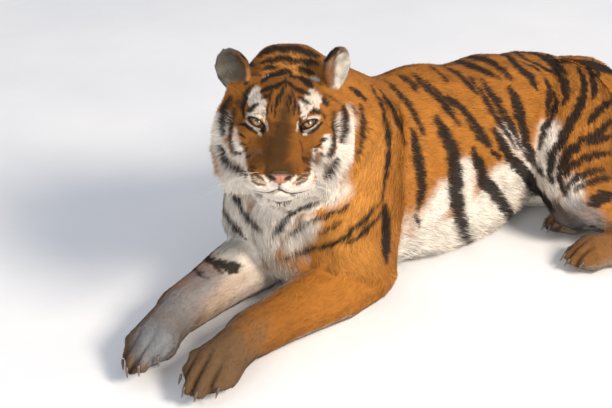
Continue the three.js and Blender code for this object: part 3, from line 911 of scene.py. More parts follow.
# Where the rump's bars fade in, and where the nape's do: on skin that faces away from the photograph's camera.
RUMP = {"along": (0.98, 1.06), "height": (0.06, 0.14)}
NAPE = {"away": (0.0, -0.2), "height": (0.42, 0.50)}
TAIL_TIP = (0.09, 0.05)  # metres from the tail's end, over which its black tip fades in
LID_RIM = (0.0042, 0.0024)  # the black rim's outer and inner distance from the slit


def mix(colour, other, amount):
    amount = np.clip(amount, 0, 1)[:, None]
    return colour * (1 - amount) + other * amount


class Paint:
    """The tiger's colours as a function of place, so that skin and tufts carry the same markings."""

    def __init__(self, surface):
        tree = surface.tree()
        self.layers = {name: Marks(tree, *layer) for name, layer in LAYERS.items()}

    def base(self, p, n, node):
        """The coat without its marks: ginger, deeper above, brighter as painted light where the shoulder, neck
        and flank face the front and the left, with cream underneath, tan paws, painted shade in the gaps
        between the toes, and the ears.
        """
        side, head, y, z = SIDE[node], to_head(p), p[:, 1], p[:, 2]
        deep = 0.45 * smoothstep(*FADE["back_height"], z) * smoothstep(*FADE["back_facing"], n[:, 2])
        colour = mix(GINGER, DEEP_GINGER, deep + 0.12 * ripple(p, 0.10, 3))
        # Painted light: a brighter ginger on the shoulder, neck and flank where they face the front and the
        # tiger's left.
        lit_share = smoothstep(*FADE["lit_place"], y) * smoothstep(*FADE["lit_height"], z)
        lit_share *= smoothstep(*FADE["lit_forward"], n[:, 1]) * smoothstep(*FADE["lit_left"], n[:, 0])
        colour = mix(colour, LIT_GINGER, 0.6 * lit_share * of_kind(node, "trunk", "shoulder", "neck"))
        foreleg = of_kind(node, "shoulder", "forearm", "forepaw")
        under = smoothstep(*FADE["under"], n[:, 2] + 0.15 * ripple(p, 0.06, 4) + 0.45 * foreleg)
        inner = smoothstep(*FADE["inner"], -side * n[:, 0]) * (side != 0)
        belly = smoothstep(*FADE["belly"], z + 0.02 * ripple(p, 0.08, 5)) * of_kind(node, "trunk")
        colour = mix(colour, CREAM, np.maximum.reduce([0.9 * under, 0.85 * inner, 0.9 * belly]))
        down = self.down_the_leg(p, node)
        deep = 0.55 * smoothstep(*FADE["lower_leg"], down) + 0.35 * of_kind(node, "head")
        colour = mix(colour, DEEP_GINGER, deep)
        paw = smoothstep(*FADE["paw"], down + 0.08 * ripple(p, 0.03, 7))
        colour = mix(colour, PAW_TAN, (0.9 - 0.4 * of_kind(node, "shank", "hind_foot")) * paw)
        # Painted shade: darker brown in the gaps between the toes.
        colour = mix(colour, BROWN * 0.6, 0.8 * toe_gap(p, node))
        throat = smoothstep(*FADE["throat"], head[:, 2]) * of_kind(node, "head", "neck")
        colour = mix(colour, CREAM, 0.85 * throat)
        return np.where(of_kind(node, "ear")[:, None], self.ears(head, n @ HEAD_ROWS), colour)

    @staticmethod
    def down_the_leg(p, node):
        """How far down its leg each point lies: 0 at the elbow or knee, 1 at the wrist or hock."""
        share = np.zeros(len(p))
        for joints, lower_from, chosen in legs(node):
            lengths = np.linalg.norm(np.diff(joints, axis=0), axis=1)
            along = along_line(p[chosen], joints)[0]
            share[chosen] = (along - lengths[:lower_from].sum()) / lengths[lower_from]
        return share

    @staticmethod
    def ears(head, facing):
        """Backs black with a pale spot, insides grey with pale hair, the grey partly the ear's own and partly
        painted shade in its hollow, paler in the left ear; rims dark at the top and ginger below.
        """
        side = np.sign(head[:, 0])
        outwards, y, z = side * head[:, 0], head[:, 1], head[:, 2]
        from_spot = np.linalg.norm(np.stack([outwards, y, z], 1) - EAR_SPOT, axis=1)
        outside = mix(BLACK, CREAM, smoothstep(*EAR_SPOT_EDGE, from_spot))
        inside = mix(SHADED_EAR_GREY, CREAM, 0.15 + 0.45 * (side > 0) + 0.25 * ripple(head, 0.010, 6))
        base = smoothstep(*EAR_FADE["base_across"], outwards - EAR_MIDDLE)
        inside = mix(inside, GINGER, 0.9 * base * smoothstep(*EAR_FADE["base_height"], z))
        inside = mix(inside, DEEP_GINGER * 0.6, 0.8 * smoothstep(*EAR_FADE["rim"], z))
        return mix(inside, outside, smoothstep(*EAR_FADE["back"], facing[:, 1]))

    def at(self, p, n, node):
        """Colours at these places, whose surface faces n."""
        on_head = of_kind(node, "head", "ear")
        wander = np.stack([ripple(p, 0.011, k) for k in (11, 12, 13)], 1)
        wander += np.stack([ripple(p, 0.004, k) for k in (14, 15, 16)], 1) * 0.5
        where = p + wander * np.where(on_head, *WANDER)[:, None]
        edge = np.where(on_head, *EDGE)

        def strength(layer, softness=1.0):
            return smoothstep(edge * softness, -edge * softness, self.layers[layer].distance(where, on_head))

        colour = self.base(p, n, node)
        colour = mix(colour, CREAM, 0.95 * strength("wide_white", np.where(on_head, 3.0, 6.0)))
        # Painted shade: pale fur on the far foreleg and a hind foot, greyed and darkened where it faces the
        # tiger's right, away from the lights.
        shade_side = smoothstep(*FADE["shade_side"], n[:, 0])
        colour = mix(colour, SHADED_LEG_GREY, (0.78 + 0.22 * ripple(p, 0.05, 9)) * shade_side * strength("grey", 6.0))
        colour = mix(colour, DUSK, 0.85 * strength("dusk", 3.0))
        colour = mix(colour, DEEP_GINGER, 0.9 * strength("ginger", 4.0))
        colour = mix(colour, BROWN, 0.95 * strength("bridge", 9.0))
        colour = mix(colour, PAD_GREY, 0.85 * strength("pads", 2.0))
        # The right ear's inside: its own grey, darkened further as painted shade.
        colour = mix(colour, SHADED_EAR_GREY, 0.8 * strength("ear_grey_and_shade", 4.0) * of_kind(node, "ear"))
        colour = mix(colour, DEEP_GINGER * 0.8, 0.8 * strength("ear_brown", 3.0) * of_kind(node, "ear"))
        streaks = 0.85 + 0.15 * ripple(to_head(p) * (1, 1, 0.3), 0.003, 17)
        colour = mix(colour, CREAM, 0.97 * strength("fine_white", 1.5) * streaks)
        colour = mix(colour, BROWN * 0.6, 0.8 * strength("fine_brown"))
        black = np.maximum.reduce([strength("flank"), strength("chest"), strength("head")])
        black = np.maximum(black, self.tail_rings(p, node))
        for a, b, width in HIDDEN_BARS:
            far = along_line(where, np.array([a, b]))[1]
            black = np.maximum(black, smoothstep(width / 2 + 0.003, width / 2 - 0.003, far) * ~on_head)
        black = np.maximum(black, self.lids(to_head(p), on_head))
        black = np.maximum(black, self.unseen_bars(where, n, node))
        return mix(colour, BLACK, 0.97 * black)

    @staticmethod
    def unseen_bars(p, n, node):
        """Bars round the rump and across the back of the neck, where the photograph shows none."""
        rump = smoothstep(*RUMP["along"], p[:, 1]) * smoothstep(*RUMP["height"], p[:, 2])
        nape = smoothstep(*NAPE["away"], n @ np.array(VIEW_BACK)) * smoothstep(*NAPE["height"], p[:, 2])
        places = (rump * of_kind(node, "trunk", "thigh"), nape * of_kind(node, "neck"))
        black = np.zeros(len(p))
        for (direction, spacing, width, seed), place in zip(UNSEEN_BARS, places):
            phase = p @ unit(np.array(direction)) / spacing + 0.35 * ripple(p, 0.12, seed)
            share = width * (1 + 0.5 * ripple(p, 0.07, seed + 1)) * place
            bars = smoothstep(share + 0.03, share - 0.03, np.abs(phase % 1 - 0.5))
            black = np.maximum(black, bars * (place > 0.15))
        return black

    @staticmethod
    def tail_rings(p, node):
        along = along_line(p, TAIL_LINE)[0]
        length = np.linalg.norm(np.diff(TAIL_LINE, axis=0), axis=1).sum()
        phase = along / length * TAIL_RINGS + 0.12 * ripple(p, 0.05, 8)
        ring = smoothstep(0.20, 0.32, np.abs(phase % 1 - 0.5))
        tip = smoothstep(*TAIL_TIP, length - along)
        return np.maximum(ring, tip) * of_kind(node, "tail_root", "tail_end")

    @staticmethod
    def lids(head, on_head):
        rim = np.zeros(len(head))
        for side in (LEFT, RIGHT):
            near = (side * head[:, 0] > 0) & (np.abs(head[:, 2] - EYE_CENTRE[2]) < 0.03) & (head[:, 1] < 0.01)
            rim = np.maximum(rim, smoothstep(*LID_RIM, lid_gap(head, side)) * near)
        return rim * on_head


# ---------------------------------------------------------------- materials
class Shader:
    """A material whose nodes are added one by one."""

    def __init__(self, name, **settings):
        self.material = bpy.data.materials.new(name)
        self.material.use_nodes = True
        self.nodes, self.links = self.material.node_tree.nodes, self.material.node_tree.links
        self.shader = self.nodes["Principled BSDF"]
        for key, value in settings.items():
            self.shader.inputs[key.replace("_", " ")].default_value = value

    def node(self, kind, sources=(), **settings):
        """A node, with its inputs linked to other nodes' outputs or set to values."""
        node = self.nodes.new("ShaderNode" + kind)
        for key, value in settings.items():
            setattr(node, key, value)
        for key, source in dict(sources).items():
            if isinstance(source, bpy.types.NodeSocket):
                self.links.new(source, node.inputs[key])
            else:
                node.inputs[key].default_value = source
        return node

    def place(self):
        return self.node("TexCoord").outputs["Object"]

    def noise(self, scale, detail=2.0, vector=None):
        vector = vector or self.place()
        return self.node("TexNoise", {"Vector": vector, "Scale": scale, "Detail": detail}).outputs["Fac"]

    def math(self, operation, a, b=0.0):
        return self.node("Math", {0: a, 1: b}, operation=operation).outputs[0]

    def spread(self, value, low, high):
        return self.node("MapRange", {"Value": value, "To Min": low, "To Max": high}).outputs[0]

    def scaled(self, colour, amount):
        """The colour times a number."""
        grey = self.node("CombineColor", {"Red": amount, "Green": amount, "Blue": amount}).outputs[0]
        return self.product(colour, grey)

    def product(self, colour, other):
        sources = {"Factor": 1.0, 6: colour, 7: other}
        return self.node("Mix", sources, data_type="RGBA", blend_type="MULTIPLY").outputs[2]

    def ramp(self, value, stops):
        node = self.node("ValToRGB", {"Fac": value})
        while len(node.color_ramp.elements) < len(stops):
            node.color_ramp.elements.new(0.5)
        for element, (at, colour) in zip(node.color_ramp.elements, stops):
            element.position, element.color = at, (*colour, 1)
        return node.outputs["Color"]

    def colour(self, socket):
        self.links.new(socket, self.shader.inputs["Base Color"])

    def roughness(self, socket):
        self.links.new(socket, self.shader.inputs["Roughness"])

    def bump(self, height, distance, strength=1.0):
        sources = {"Height": height, "Distance": distance, "Strength": strength}
        self.links.new(self.node("Bump", sources).outputs["Normal"], self.shader.inputs["Normal"])


def painted(shader, coarse, fine):
    """The mesh's own colours, varied by two sizes of noise."""
    colour = shader.node("Attribute", attribute_name="paint").outputs["Color"]
    shade = shader.math("MULTIPLY", shader.spread(shader.noise(coarse), 0.82, 1.18),
                        shader.spread(shader.noise(fine), 0.85, 1.15))
    return shader.scaled(colour, shade)


def skin_material():
    shader = Shader("short_fur", Roughness=0.8, Specular_IOR_Level=0.1)
    shader.colour(painted(shader, 45, 900))
    stretched = shader.node("Mapping", {"Vector": shader.place(), "Scale": (1.0, 0.35, 1.0)}).outputs[0]
    shader.bump(shader.noise(1100, 3.0, stretched), 0.0012, 0.7)
    return shader.material


def fur_material():
    shader = Shader("fur", Roughness=0.65, Specular_IOR_Level=0.15)
    shader.colour(painted(shader, 30, 420))
    shader.bump(shader.noise(1500), 0.0003, 0.4)
    return shader.material


def nose_material():
    shader = Shader("nose_skin", Specular_IOR_Level=0.45)
    shader.colour(painted(shader, 160, 900))
    cells = shader.node("TexVoronoi", {"Vector": shader.place(), "Scale": 900.0}).outputs["Distance"]
    shader.roughness(shader.spread(shader.noise(300), 0.38, 0.58))
    shader.bump(cells, 0.0006, 0.6)
    return shader.material


def eye_material():
    """Rings of colour round the ball's own -Y axis: pupil, iris, dark rim, white."""
    shader = Shader("eye", Roughness=0.25, Coat_Weight=1.0, Coat_Roughness=0.03)
    parts = shader.node("SeparateXYZ", {"Vector": shader.place()})
    x, y, z = (parts.outputs[k] for k in range(3))
    squares = [shader.math("MULTIPLY", part, part) for part in (x, z)]
    radius = shader.math("SQRT", shader.math("ADD", *squares))
    turns = shader.math("MULTIPLY", shader.math("ARCTAN2", x, z), 5.0)
    rays = shader.node("CombineXYZ", {"X": turns, "Y": shader.math("MULTIPLY", radius, 90.0)})
    streak = shader.noise(2.4, 3.0, rays.outputs[0])
    rings = shader.ramp(shader.math("DIVIDE", radius, EYE_RADIUS), [
        (0.0, (0.004, 0.003, 0.002)), (0.165, (0.004, 0.003, 0.002)), (0.19, (0.09, 0.048, 0.013)),
        (0.34, (0.21, 0.110, 0.028)), (0.50, (0.15, 0.075, 0.020)), (0.55, (0.025, 0.013, 0.006)),
        (0.62, (0.020, 0.011, 0.007)), (0.75, (0.06, 0.035, 0.025)),
    ])
    front = shader.scaled(rings, shader.spread(streak, 0.55, 1.5))
    back = shader.ramp(y, [(0.0, (1, 1, 1)), (0.004, (0.25, 0.18, 0.15))])
    shader.colour(shader.product(front, back))
    return shader.material


def claw_material():
    shader = Shader("claw", Roughness=0.35, Specular_IOR_Level=0.5)
    stretched = shader.node("Mapping", {"Vector": shader.place(), "Scale": (1, 0.2, 1)}).outputs[0]
    streak = shader.noise(260, 3.0, stretched)
    shader.colour(shader.ramp(streak, [(0.3, (0.045, 0.032, 0.024)), (0.7, (0.15, 0.11, 0.08))]))
    shader.bump(streak, 0.0004, 0.5)
    return shader.material


def whisker_material():
    shader = Shader("whisker", Roughness=0.4)
    shader.colour(shader.ramp(shader.noise(60), [(0.3, (0.55, 0.50, 0.44)), (0.7, (0.85, 0.82, 0.78))]))
    return shader.material


def finish_piece(piece, material, slot, *nodes):
    piece.data.materials.clear()
    piece.data.materials.append(material)
    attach(piece, "root")
    if nodes:
        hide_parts(*nodes)


# ---------------------------------------------------------------- eyes, nose, claws, whiskers
GAZE = unit(np.array((0.0, -1.0, 0.14)))  # in the head's frame
BALL_RADIUS = EYE_RADIUS - 0.0009
CORNEA_ANGLE, CORNEA_HEIGHT = math.radians(38), 0.0007
BALL_ROWS, BALL_COLUMNS = 48, 64


def make_eye(name, side, material):
    """A ball with the clear front part standing slightly proud of it, facing its own -Y."""
    rows = np.linspace(0, math.pi, BALL_ROWS + 1)[1:-1]
    columns = np.arange(BALL_COLUMNS) / BALL_COLUMNS * 2 * math.pi
    polar, turn = (g.ravel() for g in np.meshgrid(rows, columns, indexing="ij"))
    radius = BALL_RADIUS + CORNEA_HEIGHT * smoothstep(CORNEA_ANGLE, 0, polar)
    around = np.stack([np.sin(polar) * np.cos(turn), -np.cos(polar), np.sin(polar) * np.sin(turn)], 1)
    co = radius[:, None] * around
    poles = np.array([(0, -BALL_RADIUS - CORNEA_HEIGHT, 0), (0, BALL_RADIUS, 0)])
    grid = np.arange(len(co)).reshape(len(rows), BALL_COLUMNS)
    beside = np.roll(grid, -1, axis=1)
    front, back = (np.full(BALL_COLUMNS, len(co) + k) for k in (0, 1))
    caps = [np.stack([front, grid[0], beside[0]], 1), np.stack([back, beside[-1], grid[-1]], 1)]
    tri = np.concatenate([ring_triangles(grid), *caps])
    piece = new_object(name + "_ball", np.concatenate([co, poles]), tri)
    ahead = Vector(HEAD_ROWS @ GAZE)
    across = Vector(HEAD_ROWS[:, 0])
    upward = across.cross(-ahead).normalized()
    across = (-ahead).cross(upward)
    turn = Matrix((across, -ahead, upward)).transposed().to_4x4()
    turn.translation = Vector(from_head(EYE_CENTRE * (side, 1, 1)))
    piece.matrix_world = turn
    bpy.context.view_layer.update()
    finish_piece(piece, material, "eye", name)


NOSE_PINK = np.array((0.36, 0.150, 0.095))
NOSE_GREY = np.array((0.13, 0.075, 0.055))
NOSE_VOXEL, NOSE_ROUNDS = 0.0012, 12
NOSE_BOTTOM_FROM, NOSE_BOTTOM_SHARE = -0.125, 0.6  # below this height, this share of the pad's drop is kept
NOSTRIL = {
    "x": 0.0178, "z": -0.1225, "width": 0.0105, "height": 0.0048, "tilt": math.radians(30), "depth": 0.006,
}
NOSE_CLEFT = {"depth": 0.0018, "width": 0.0016, "fade": (-0.118, -0.126)}
# Where the pink turns grey at the top and at the back, and where brown hair begins, in the head's frame.
NOSE_FADE = {"grey_top": (-0.1195, -0.1165), "grey_back": (0.012, 0.022), "brown_top": (-0.1165, -0.1135)}


def nostril_share(p):
    """1 in the middle of a nostril, 0 outside it."""
    x = np.abs(p[:, 0]) - NOSTRIL["x"]
    z = p[:, 2] - NOSTRIL["z"]
    c, s = math.cos(NOSTRIL["tilt"]), math.sin(NOSTRIL["tilt"])
    r = np.hypot((x * c + z * s) / NOSTRIL["width"], (z * c - x * s) / NOSTRIL["height"])
    return smoothstep(1.15, 0.6, r)


def make_nose(material):
    surface = remeshed("nose_rough", *read_mesh(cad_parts["nose"].data), NOSE_VOXEL)
    surface.relax(NOSE_ROUNDS, np.ones(len(surface.co)))
    p = to_head(surface.co)
    drop = np.minimum(p[:, 2] - NOSE_BOTTOM_FROM, 0)
    p[:, 2] -= drop * (1 - NOSE_BOTTOM_SHARE)
    hole = nostril_share(p)
    front = p[:, 1].min()
    p[:, 1] += NOSTRIL["depth"] * hole
    cleft = np.exp(-((p[:, 0] / NOSE_CLEFT["width"]) ** 2)) * smoothstep(*NOSE_CLEFT["fade"], p[:, 2])
    p[:, 1] += NOSE_CLEFT["depth"] * cleft
    edge = smoothstep(*NOSE_FADE["grey_top"], p[:, 2]) + smoothstep(*NOSE_FADE["grey_back"], p[:, 1] - front)
    colour = mix(NOSE_PINK, NOSE_GREY, 0.85 * edge)
    colour = mix(colour, BROWN, smoothstep(*NOSE_FADE["brown_top"], p[:, 2]))
    # Painted shade: the nostrils black inside.
    colour = mix(colour, BLACK, hole)
    surface.co = from_head(p)
    piece = new_object("nose_pad", surface.co, surface.tri)
    set_colours(piece, "paint", colour)
    finish_piece(piece, material, "nose_skin", "nose")


CLAW_SET_BACK = 0.005  # how much further back in the fur the claws sit than the solids' do
CLAW_WELD = 0.0001


def make_claws(material):
    for foot in ("left_forepaw", "right_forepaw", "left_hind_foot", "right_hind_foot"):
        side = LEFT if foot.startswith("left") else RIGHT
        start, end = np.array((FORELEGS if foot.endswith("forepaw") else HINDLEGS)[side][-2:])
        names = [f"{foot}_claw_{k}" for k in (1, 2, 3, 4)]
        co, tri, _ = joined([read_mesh(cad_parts[name].data) for name in names])
        piece = new_object(foot + "_claws", co - unit(end - start) * CLAW_SET_BACK, tri)
        with_modifier(piece, "WELD", merge_threshold=CLAW_WELD)
        with_modifier(piece, "SUBSURF", levels=2, render_levels=2)
        piece.data.polygons.foreach_set("use_smooth", np.ones(len(piece.data.polygons), bool))
        finish_piece(piece, material, "claw", *names)


# The whiskers' rows on the left pad: each one's height, and the X of its first root. In the head's frame, as
# all of a whisker's places and directions are.
WHISKER_ROWS = ((-0.112, 0.045), (-0.121, 0.050), (-0.130, 0.052), (-0.139, 0.050))
WHISKERS_IN_ROW, WHISKER_PITCH = 3, 0.009
WHISKER_LENGTH = (0.075, 0.135)
WHISKER_RISE = (-0.25, 0.15)  # of its direction at the root
WHISKER_BEND = np.array((0, 0.35, -0.30))  # how far the tip is bent back and down, as a share of the length
WHISKER_RADIUS, WHISKER_TAPER = 0.00032, 0.8
WHISKER_STEPS, WHISKER_SIDES = 10, 4


def whisker(start, end, bend):
    """A closed tapered tube of four sides."""
    t = np.linspace(0, 1, WHISKER_STEPS)[:, None]
    line = start + (end - start) * t + bend * t**2
    turn = np.arange(WHISKER_SIDES) / WHISKER_SIDES * 2 * math.pi
    around = np.stack([0 * turn, np.cos(turn), np.sin(turn)], 1)
    tube = line[:, None] + around[None] * (WHISKER_RADIUS * (1 - WHISKER_TAPER * t))[:, :, None]
    grid = np.arange(WHISKER_STEPS * WHISKER_SIDES).reshape(WHISKER_STEPS, -1)
    caps = [cap[[[0, 1, 2], [0, 2, 3]]] for cap in (grid[0], grid[-1][::-1])]
    return from_head(tube.reshape(-1, 3)), np.concatenate([ring_triangles(grid)[:, ::-1], *caps])


def make_whiskers(tree, material):
    """Hairs out of the pads, sweeping out, back and down."""
    hairs = []
    chance = np.random.default_rng(21)
    for side in (LEFT, RIGHT):
        for z, x in WHISKER_ROWS:
            for k in range(WHISKERS_IN_ROW):
                ahead = np.array((side * (x + WHISKER_PITCH * k), -0.30, z + chance.normal(0, 0.001)))
                root = tree.ray_cast(Vector(from_head(ahead)), Vector(HEAD_ROWS @ (0, 1, 0)))[0]
                if root is not None:
                    start = to_head(np.array(root)) + (0, 0.002, 0)
                    length = chance.uniform(*WHISKER_LENGTH)
                    out = unit(np.array((side * 1.0, -0.35 + 0.2 * k, chance.uniform(*WHISKER_RISE))))
                    hairs.append(whisker(start, start + out * length, WHISKER_BEND * length))
    finish_piece(new_object("whiskers", *joined(hairs)[:2]), material, "coat")


# ---------------------------------------------------------------- the lie of the coat
NOSE_ROOT = np.array((0, -0.17, -0.095))  # the head's hair leads away from here, in the head's frame


NECK_ROOT = np.array((0.16, -0.16, 0.66))  # and the neck's away from here
COMB_ROUNDS = 24  # of softening


def comb_field(surface, normals):
    """The direction in which the hair lies, at each vertex."""
    p, node = surface.co, surface.node
    comb = np.zeros_like(p)
    comb[:, 1] = 1
    comb[:, 2] = -0.5 * np.abs(normals[:, 0]) - 1.5 * smoothstep(-0.4, -0.9, normals[:, 1])
    neck = of_kind(node, "neck")
    comb[neck] = unit(p[neck] - NECK_ROOT)
    for joints, _, on_leg in legs(node):
        comb[on_leg] = along_line(p[on_leg], joints)[2]
    tail = of_kind(node, "tail_root", "tail_end")
    comb[tail] = along_line(p[tail], TAIL_LINE)[2]
    head, local = of_kind(node, "head"), to_head(p)
    away = unit(local - NOSE_ROOT) + (0, 0.2, 0)
    away[:, 2] -= 0.5 * smoothstep(0.06, 0.11, np.abs(local[:, 0])) * smoothstep(0.05, -0.05, local[:, 2])
    comb[head] = away[head] @ HEAD_ROWS.T
    ear = of_kind(node, "ear")
    comb[ear] = (np.sign(local[ear, :1]) * (0.35, 0, 0) + (0, 0, 1)) @ HEAD_ROWS.T
    comb = surface.soften(comb, COMB_ROUNDS)
    comb -= normals * (comb * normals).sum(1, keepdims=True)
    return unit(comb)


# ---------------------------------------------------------------- the coat
# Hair length in metres and lift off the skin in degrees, by the end of a node's name.
HAIR = {
    "trunk": (0.021, 10), "neck": (0.024, 11), "head": (0.010, 14), "ear": (0.008, 20), "shoulder": (0.020, 11),
    "forearm": (0.014, 11), "forepaw": (0.008, 13), "thigh": (0.020, 12), "shank": (0.014, 12),
    "hind_foot": (0.008, 13), "tail_root": (0.026, 14), "tail_end": (0.026, 15),
}
# Hair length on the head: on the nose, and how much more behind it, on the ruff and under the chin.
HEAD_HAIR = {"least": 0.0042, "behind": 0.007, "ruff": 0.022, "chin": 0.012}
CHEST_END, RUMP_START = 0.13, 0.62  # along the trunk's Y
NORMAL_SCATTER = 0.30  # tufts are lit as the skin under them is, give or take this much
PATCH = 0.003  # each tuft's width in the bake map
# A tuft's corners, from the first and before the last, how far along the hair they take their colour, and how
# light they are: the three at the root darker as painted shade, the one at the tip lighter as painted light.
TUFT_LIGHT_AND_SHADE = ((0, 3, 0.1, 0.80), (3, 4, 0.8, 1.12))
TUFT_TRIANGLES = np.array([(0, 1, 3), (1, 2, 3), (2, 0, 3), (2, 1, 0)])
TUFT_CORNERS = 4
TUFT_ROOT_DEPTH, TUFT_DROOP = 0.0012, 0.25


def head_hair(p):
    """Hair length on the head, in its own frame: shortest on the nose, longest on the ruff."""
    length = HEAD_HAIR["least"] + HEAD_HAIR["behind"] * smoothstep(-0.08, 0.02, p[:, 1])
    ruff = smoothstep(0.075, 0.125, np.abs(p[:, 0])) * smoothstep(0.09, 0.0, p[:, 2])
    ruff *= smoothstep(-0.06, 0.03, p[:, 1]) * (0.35 + 0.65 * smoothstep(-0.03, -0.10, p[:, 2]))
    chin = smoothstep(-0.155, -0.175, p[:, 2])
    return length + np.maximum(HEAD_HAIR["ruff"] * ruff, HEAD_HAIR["chin"] * chin)


def region_of(node, middles):
    """Names each triangle's piece of coat."""
    out = np.full(len(middles), "coat_back", dtype="U16")
    out[of_kind(node, "trunk", "shoulder") & (middles[:, 1] < CHEST_END)] = "coat_chest"
    out[of_kind(node, "trunk") & (middles[:, 1] > RUMP_START)] = "coat_rump"
    out[of_kind(node, "thigh")] = "coat_rump"
    out[of_kind(node, "neck")] = "coat_neck"
    out[of_kind(node, "head", "ear")] = "coat_ruff"
    out[of_kind(node, "head") & in_box(to_head(middles), *SHORT_HAIR_BOX)] = "coat_face"
    out[of_kind(node, "forearm", "forepaw")] = "coat_forelegs"
    out[of_kind(node, "shank", "hind_foot")] = "coat_hindlegs"
    out[of_kind(node, "tail_root", "tail_end")] = "coat_tail"
    return out


# For each piece of coat: how many tufts, and a tuft's width in metres.
COATS = {
    "coat_face": (40000, 0.0010), "coat_ruff": (41500, 0.0013), "coat_neck": (37500, 0.0021),
    "coat_chest": (39500, 0.0022), "coat_back": (41500, 0.0022), "coat_rump": (41500, 0.0022),
    "coat_forelegs": (37500, 0.0016), "coat_hindlegs": (24000, 0.0017), "coat_tail": (17000, 0.0026),
}


def unwrap(surface, chosen):
    """A bake map of these triangles of the skin: three places for each."""
    used, corners = np.unique(surface.tri[chosen], return_inverse=True)
    patch = new_object("patch", surface.co[used], corners.reshape(-1, 3))
    bpy.context.view_layer.objects.active = patch
    bpy.ops.object.select_all(action="DESELECT")
    patch.select_set(True)
    bpy.ops.object.mode_set(mode="EDIT")
    bpy.ops.mesh.select_all(action="SELECT")
    bpy.ops.uv.smart_project(angle_limit=math.radians(72), island_margin=0.004)
    bpy.ops.object.mode_set(mode="OBJECT")
    uv = np.zeros(len(corners.ravel()) * 2, np.float32)
    patch.data.uv_layers.active.data.foreach_get("uv", uv)
    bpy.data.objects.remove(patch)
    return uv.reshape(-1, 3, 2)


def turned(vectors, axes, angles):
    """The vectors turned about the axes at right angles to them."""
    return vectors * np.cos(angles)[:, None] + np.cross(axes, vectors) * np.sin(angles)[:, None]


def tuft_places(root, direction, side, length, width, droop):
    """The corners of the tufts, as an array of tufts by corners by 3."""
    base = (side * 0.5, -side * 0.5, -np.cross(direction, side) * 0.35)
    foot = root - direction * TUFT_ROOT_DEPTH
    tip = root + direction * length[:, None] + droop * length[:, None] * TUFT_DROOP
    places = np.stack([*(foot + corner * width[:, None] for corner in base), tip], 1)
    places[:, :, 2] = np.maximum(places[:, :, 2], FLOOR_CLEARANCE)
    return places


def make_coat(name, surface, normals, comb, paint, chosen, material):
    count, width = COATS[name]
    chance = np.random.default_rng(sum(map(ord, name)))
    corners = surface.tri[chosen]
    a, b, c = (surface.co[corners[:, k]] for k in range(3))
    area = np.linalg.norm(np.cross(b - a, c - a), axis=1)
    node = surface.node[corners[:, 0]]
    local = to_head((a + b + c) / 3)
    hair = by_part(HAIR)[node]
    on_head = of_kind(node, "head", "ear")
    length = np.where(of_kind(node, "head"), head_hair(local), hair[:, 0])
    length *= 1 - 0.5 * of_kind(node, "neck") * smoothstep(-0.02, 0.08, local[:, 2])  # short on the nape
    length *= 1 + 0.7 * of_kind(node, "trunk") * smoothstep(0.20, 0.08, a[:, 2])  # long under the belly
    crowd = area / length.clip(0.004) ** 0.7
    clear = (a[:, 2] > 0.004) & (face_clear(local) | ~on_head)
    crowd *= clear
    picked = chance.choice(len(crowd), size=count, p=crowd / crowd.sum())
    weights = chance.dirichlet((1, 1, 1), size=count)

    def blend(values):
        return (values[corners[picked]] * weights[:, :, None]).sum(1)

    root, normal, lie = blend(surface.co), unit(blend(normals)), unit(blend(comb))
    local, node = to_head(root), node[picked]
    length = length[picked] * chance.uniform(0.75, 1.2, count)
    lock = ripple(root, 0.022, 31)
    swirl = 0.16 * lock + 0.12 * ripple(root, 0.05, 32) + chance.normal(0, 0.10, count)
    lie = turned(lie, normal, swirl)
    side = np.cross(normal, lie)
    lift = np.radians(hair[picked, 1] * (1 + 0.3 * ripple(root, 0.018, 33)) + chance.normal(0, 4, count))
    lift = np.clip(lift, 0.06, 0.9)
    direction = lie * np.cos(lift)[:, None] + normal * np.sin(lift)[:, None]
    droop = lie * 0.25 - normal * 0.45 + np.array((0, 0, -0.35)) * smoothstep(0.02, 0.04, length)[:, None]
    size = width * chance.uniform(0.75, 1.25, count) * np.sqrt(length / np.median(length)).clip(0.6, 1.5)
    places = tuft_places(root, direction, side, length, size, droop)

    jitter = chance.normal(0, 1, (count, 3)) * np.where(of_kind(node, "head", "ear"), 0.0006, 0.0016)[:, None]
    shade = (chance.uniform(0.86, 1.14, count) * (1 + 0.07 * lock))[:, None]
    colours = np.zeros_like(places)
    # The roots darker as painted shade, the tips lighter as painted light.
    for first, last, share, light in TUFT_LIGHT_AND_SHADE:
        where = root + jitter + lie * (share * length)[:, None]
        colours[:, first:last] = (paint.at(where, normal, node) * shade * light)[:, None, :]

    faces = (np.arange(count)[:, None, None] * TUFT_CORNERS + TUFT_TRIANGLES).reshape(-1, 3)
    piece = new_object(name, places.reshape(-1, 3), faces)
    set_colours(piece, "paint", colours.reshape(-1, 3))
    facing = unit(normal + chance.normal(0, NORMAL_SCATTER, (count, 3)))
    facing = np.repeat(facing, TUFT_CORNERS, axis=0).astype(np.float32)
    piece.data.normals_split_custom_set_from_vertices(facing)
    chart = (unwrap(surface, chosen)[picked] * weights[:, :, None]).sum(1)
    angle = np.arange(TUFT_CORNERS) / TUFT_CORNERS * 2 * math.pi
    around = np.stack([np.cos(angle), np.sin(angle)], 1) * PATCH / 2
    around[-1] = (0, PATCH / 2)
    uv = (chart[:, None] * (1 - 2 * PATCH) + PATCH + around[None]).reshape(-1, 2)
    layer = piece.data.uv_layers.new(name="OFBake")
    layer.data.foreach_set("uv", uv[faces.ravel()].astype(np.float32).ravel())
    finish_piece(piece, material, "coat")


BARE_LID = 0.0030  # how far the bare rim reaches from the slit
BARE_NOSE = ((-0.031, -1.0, -0.137), (0.031, -0.10, -0.113))


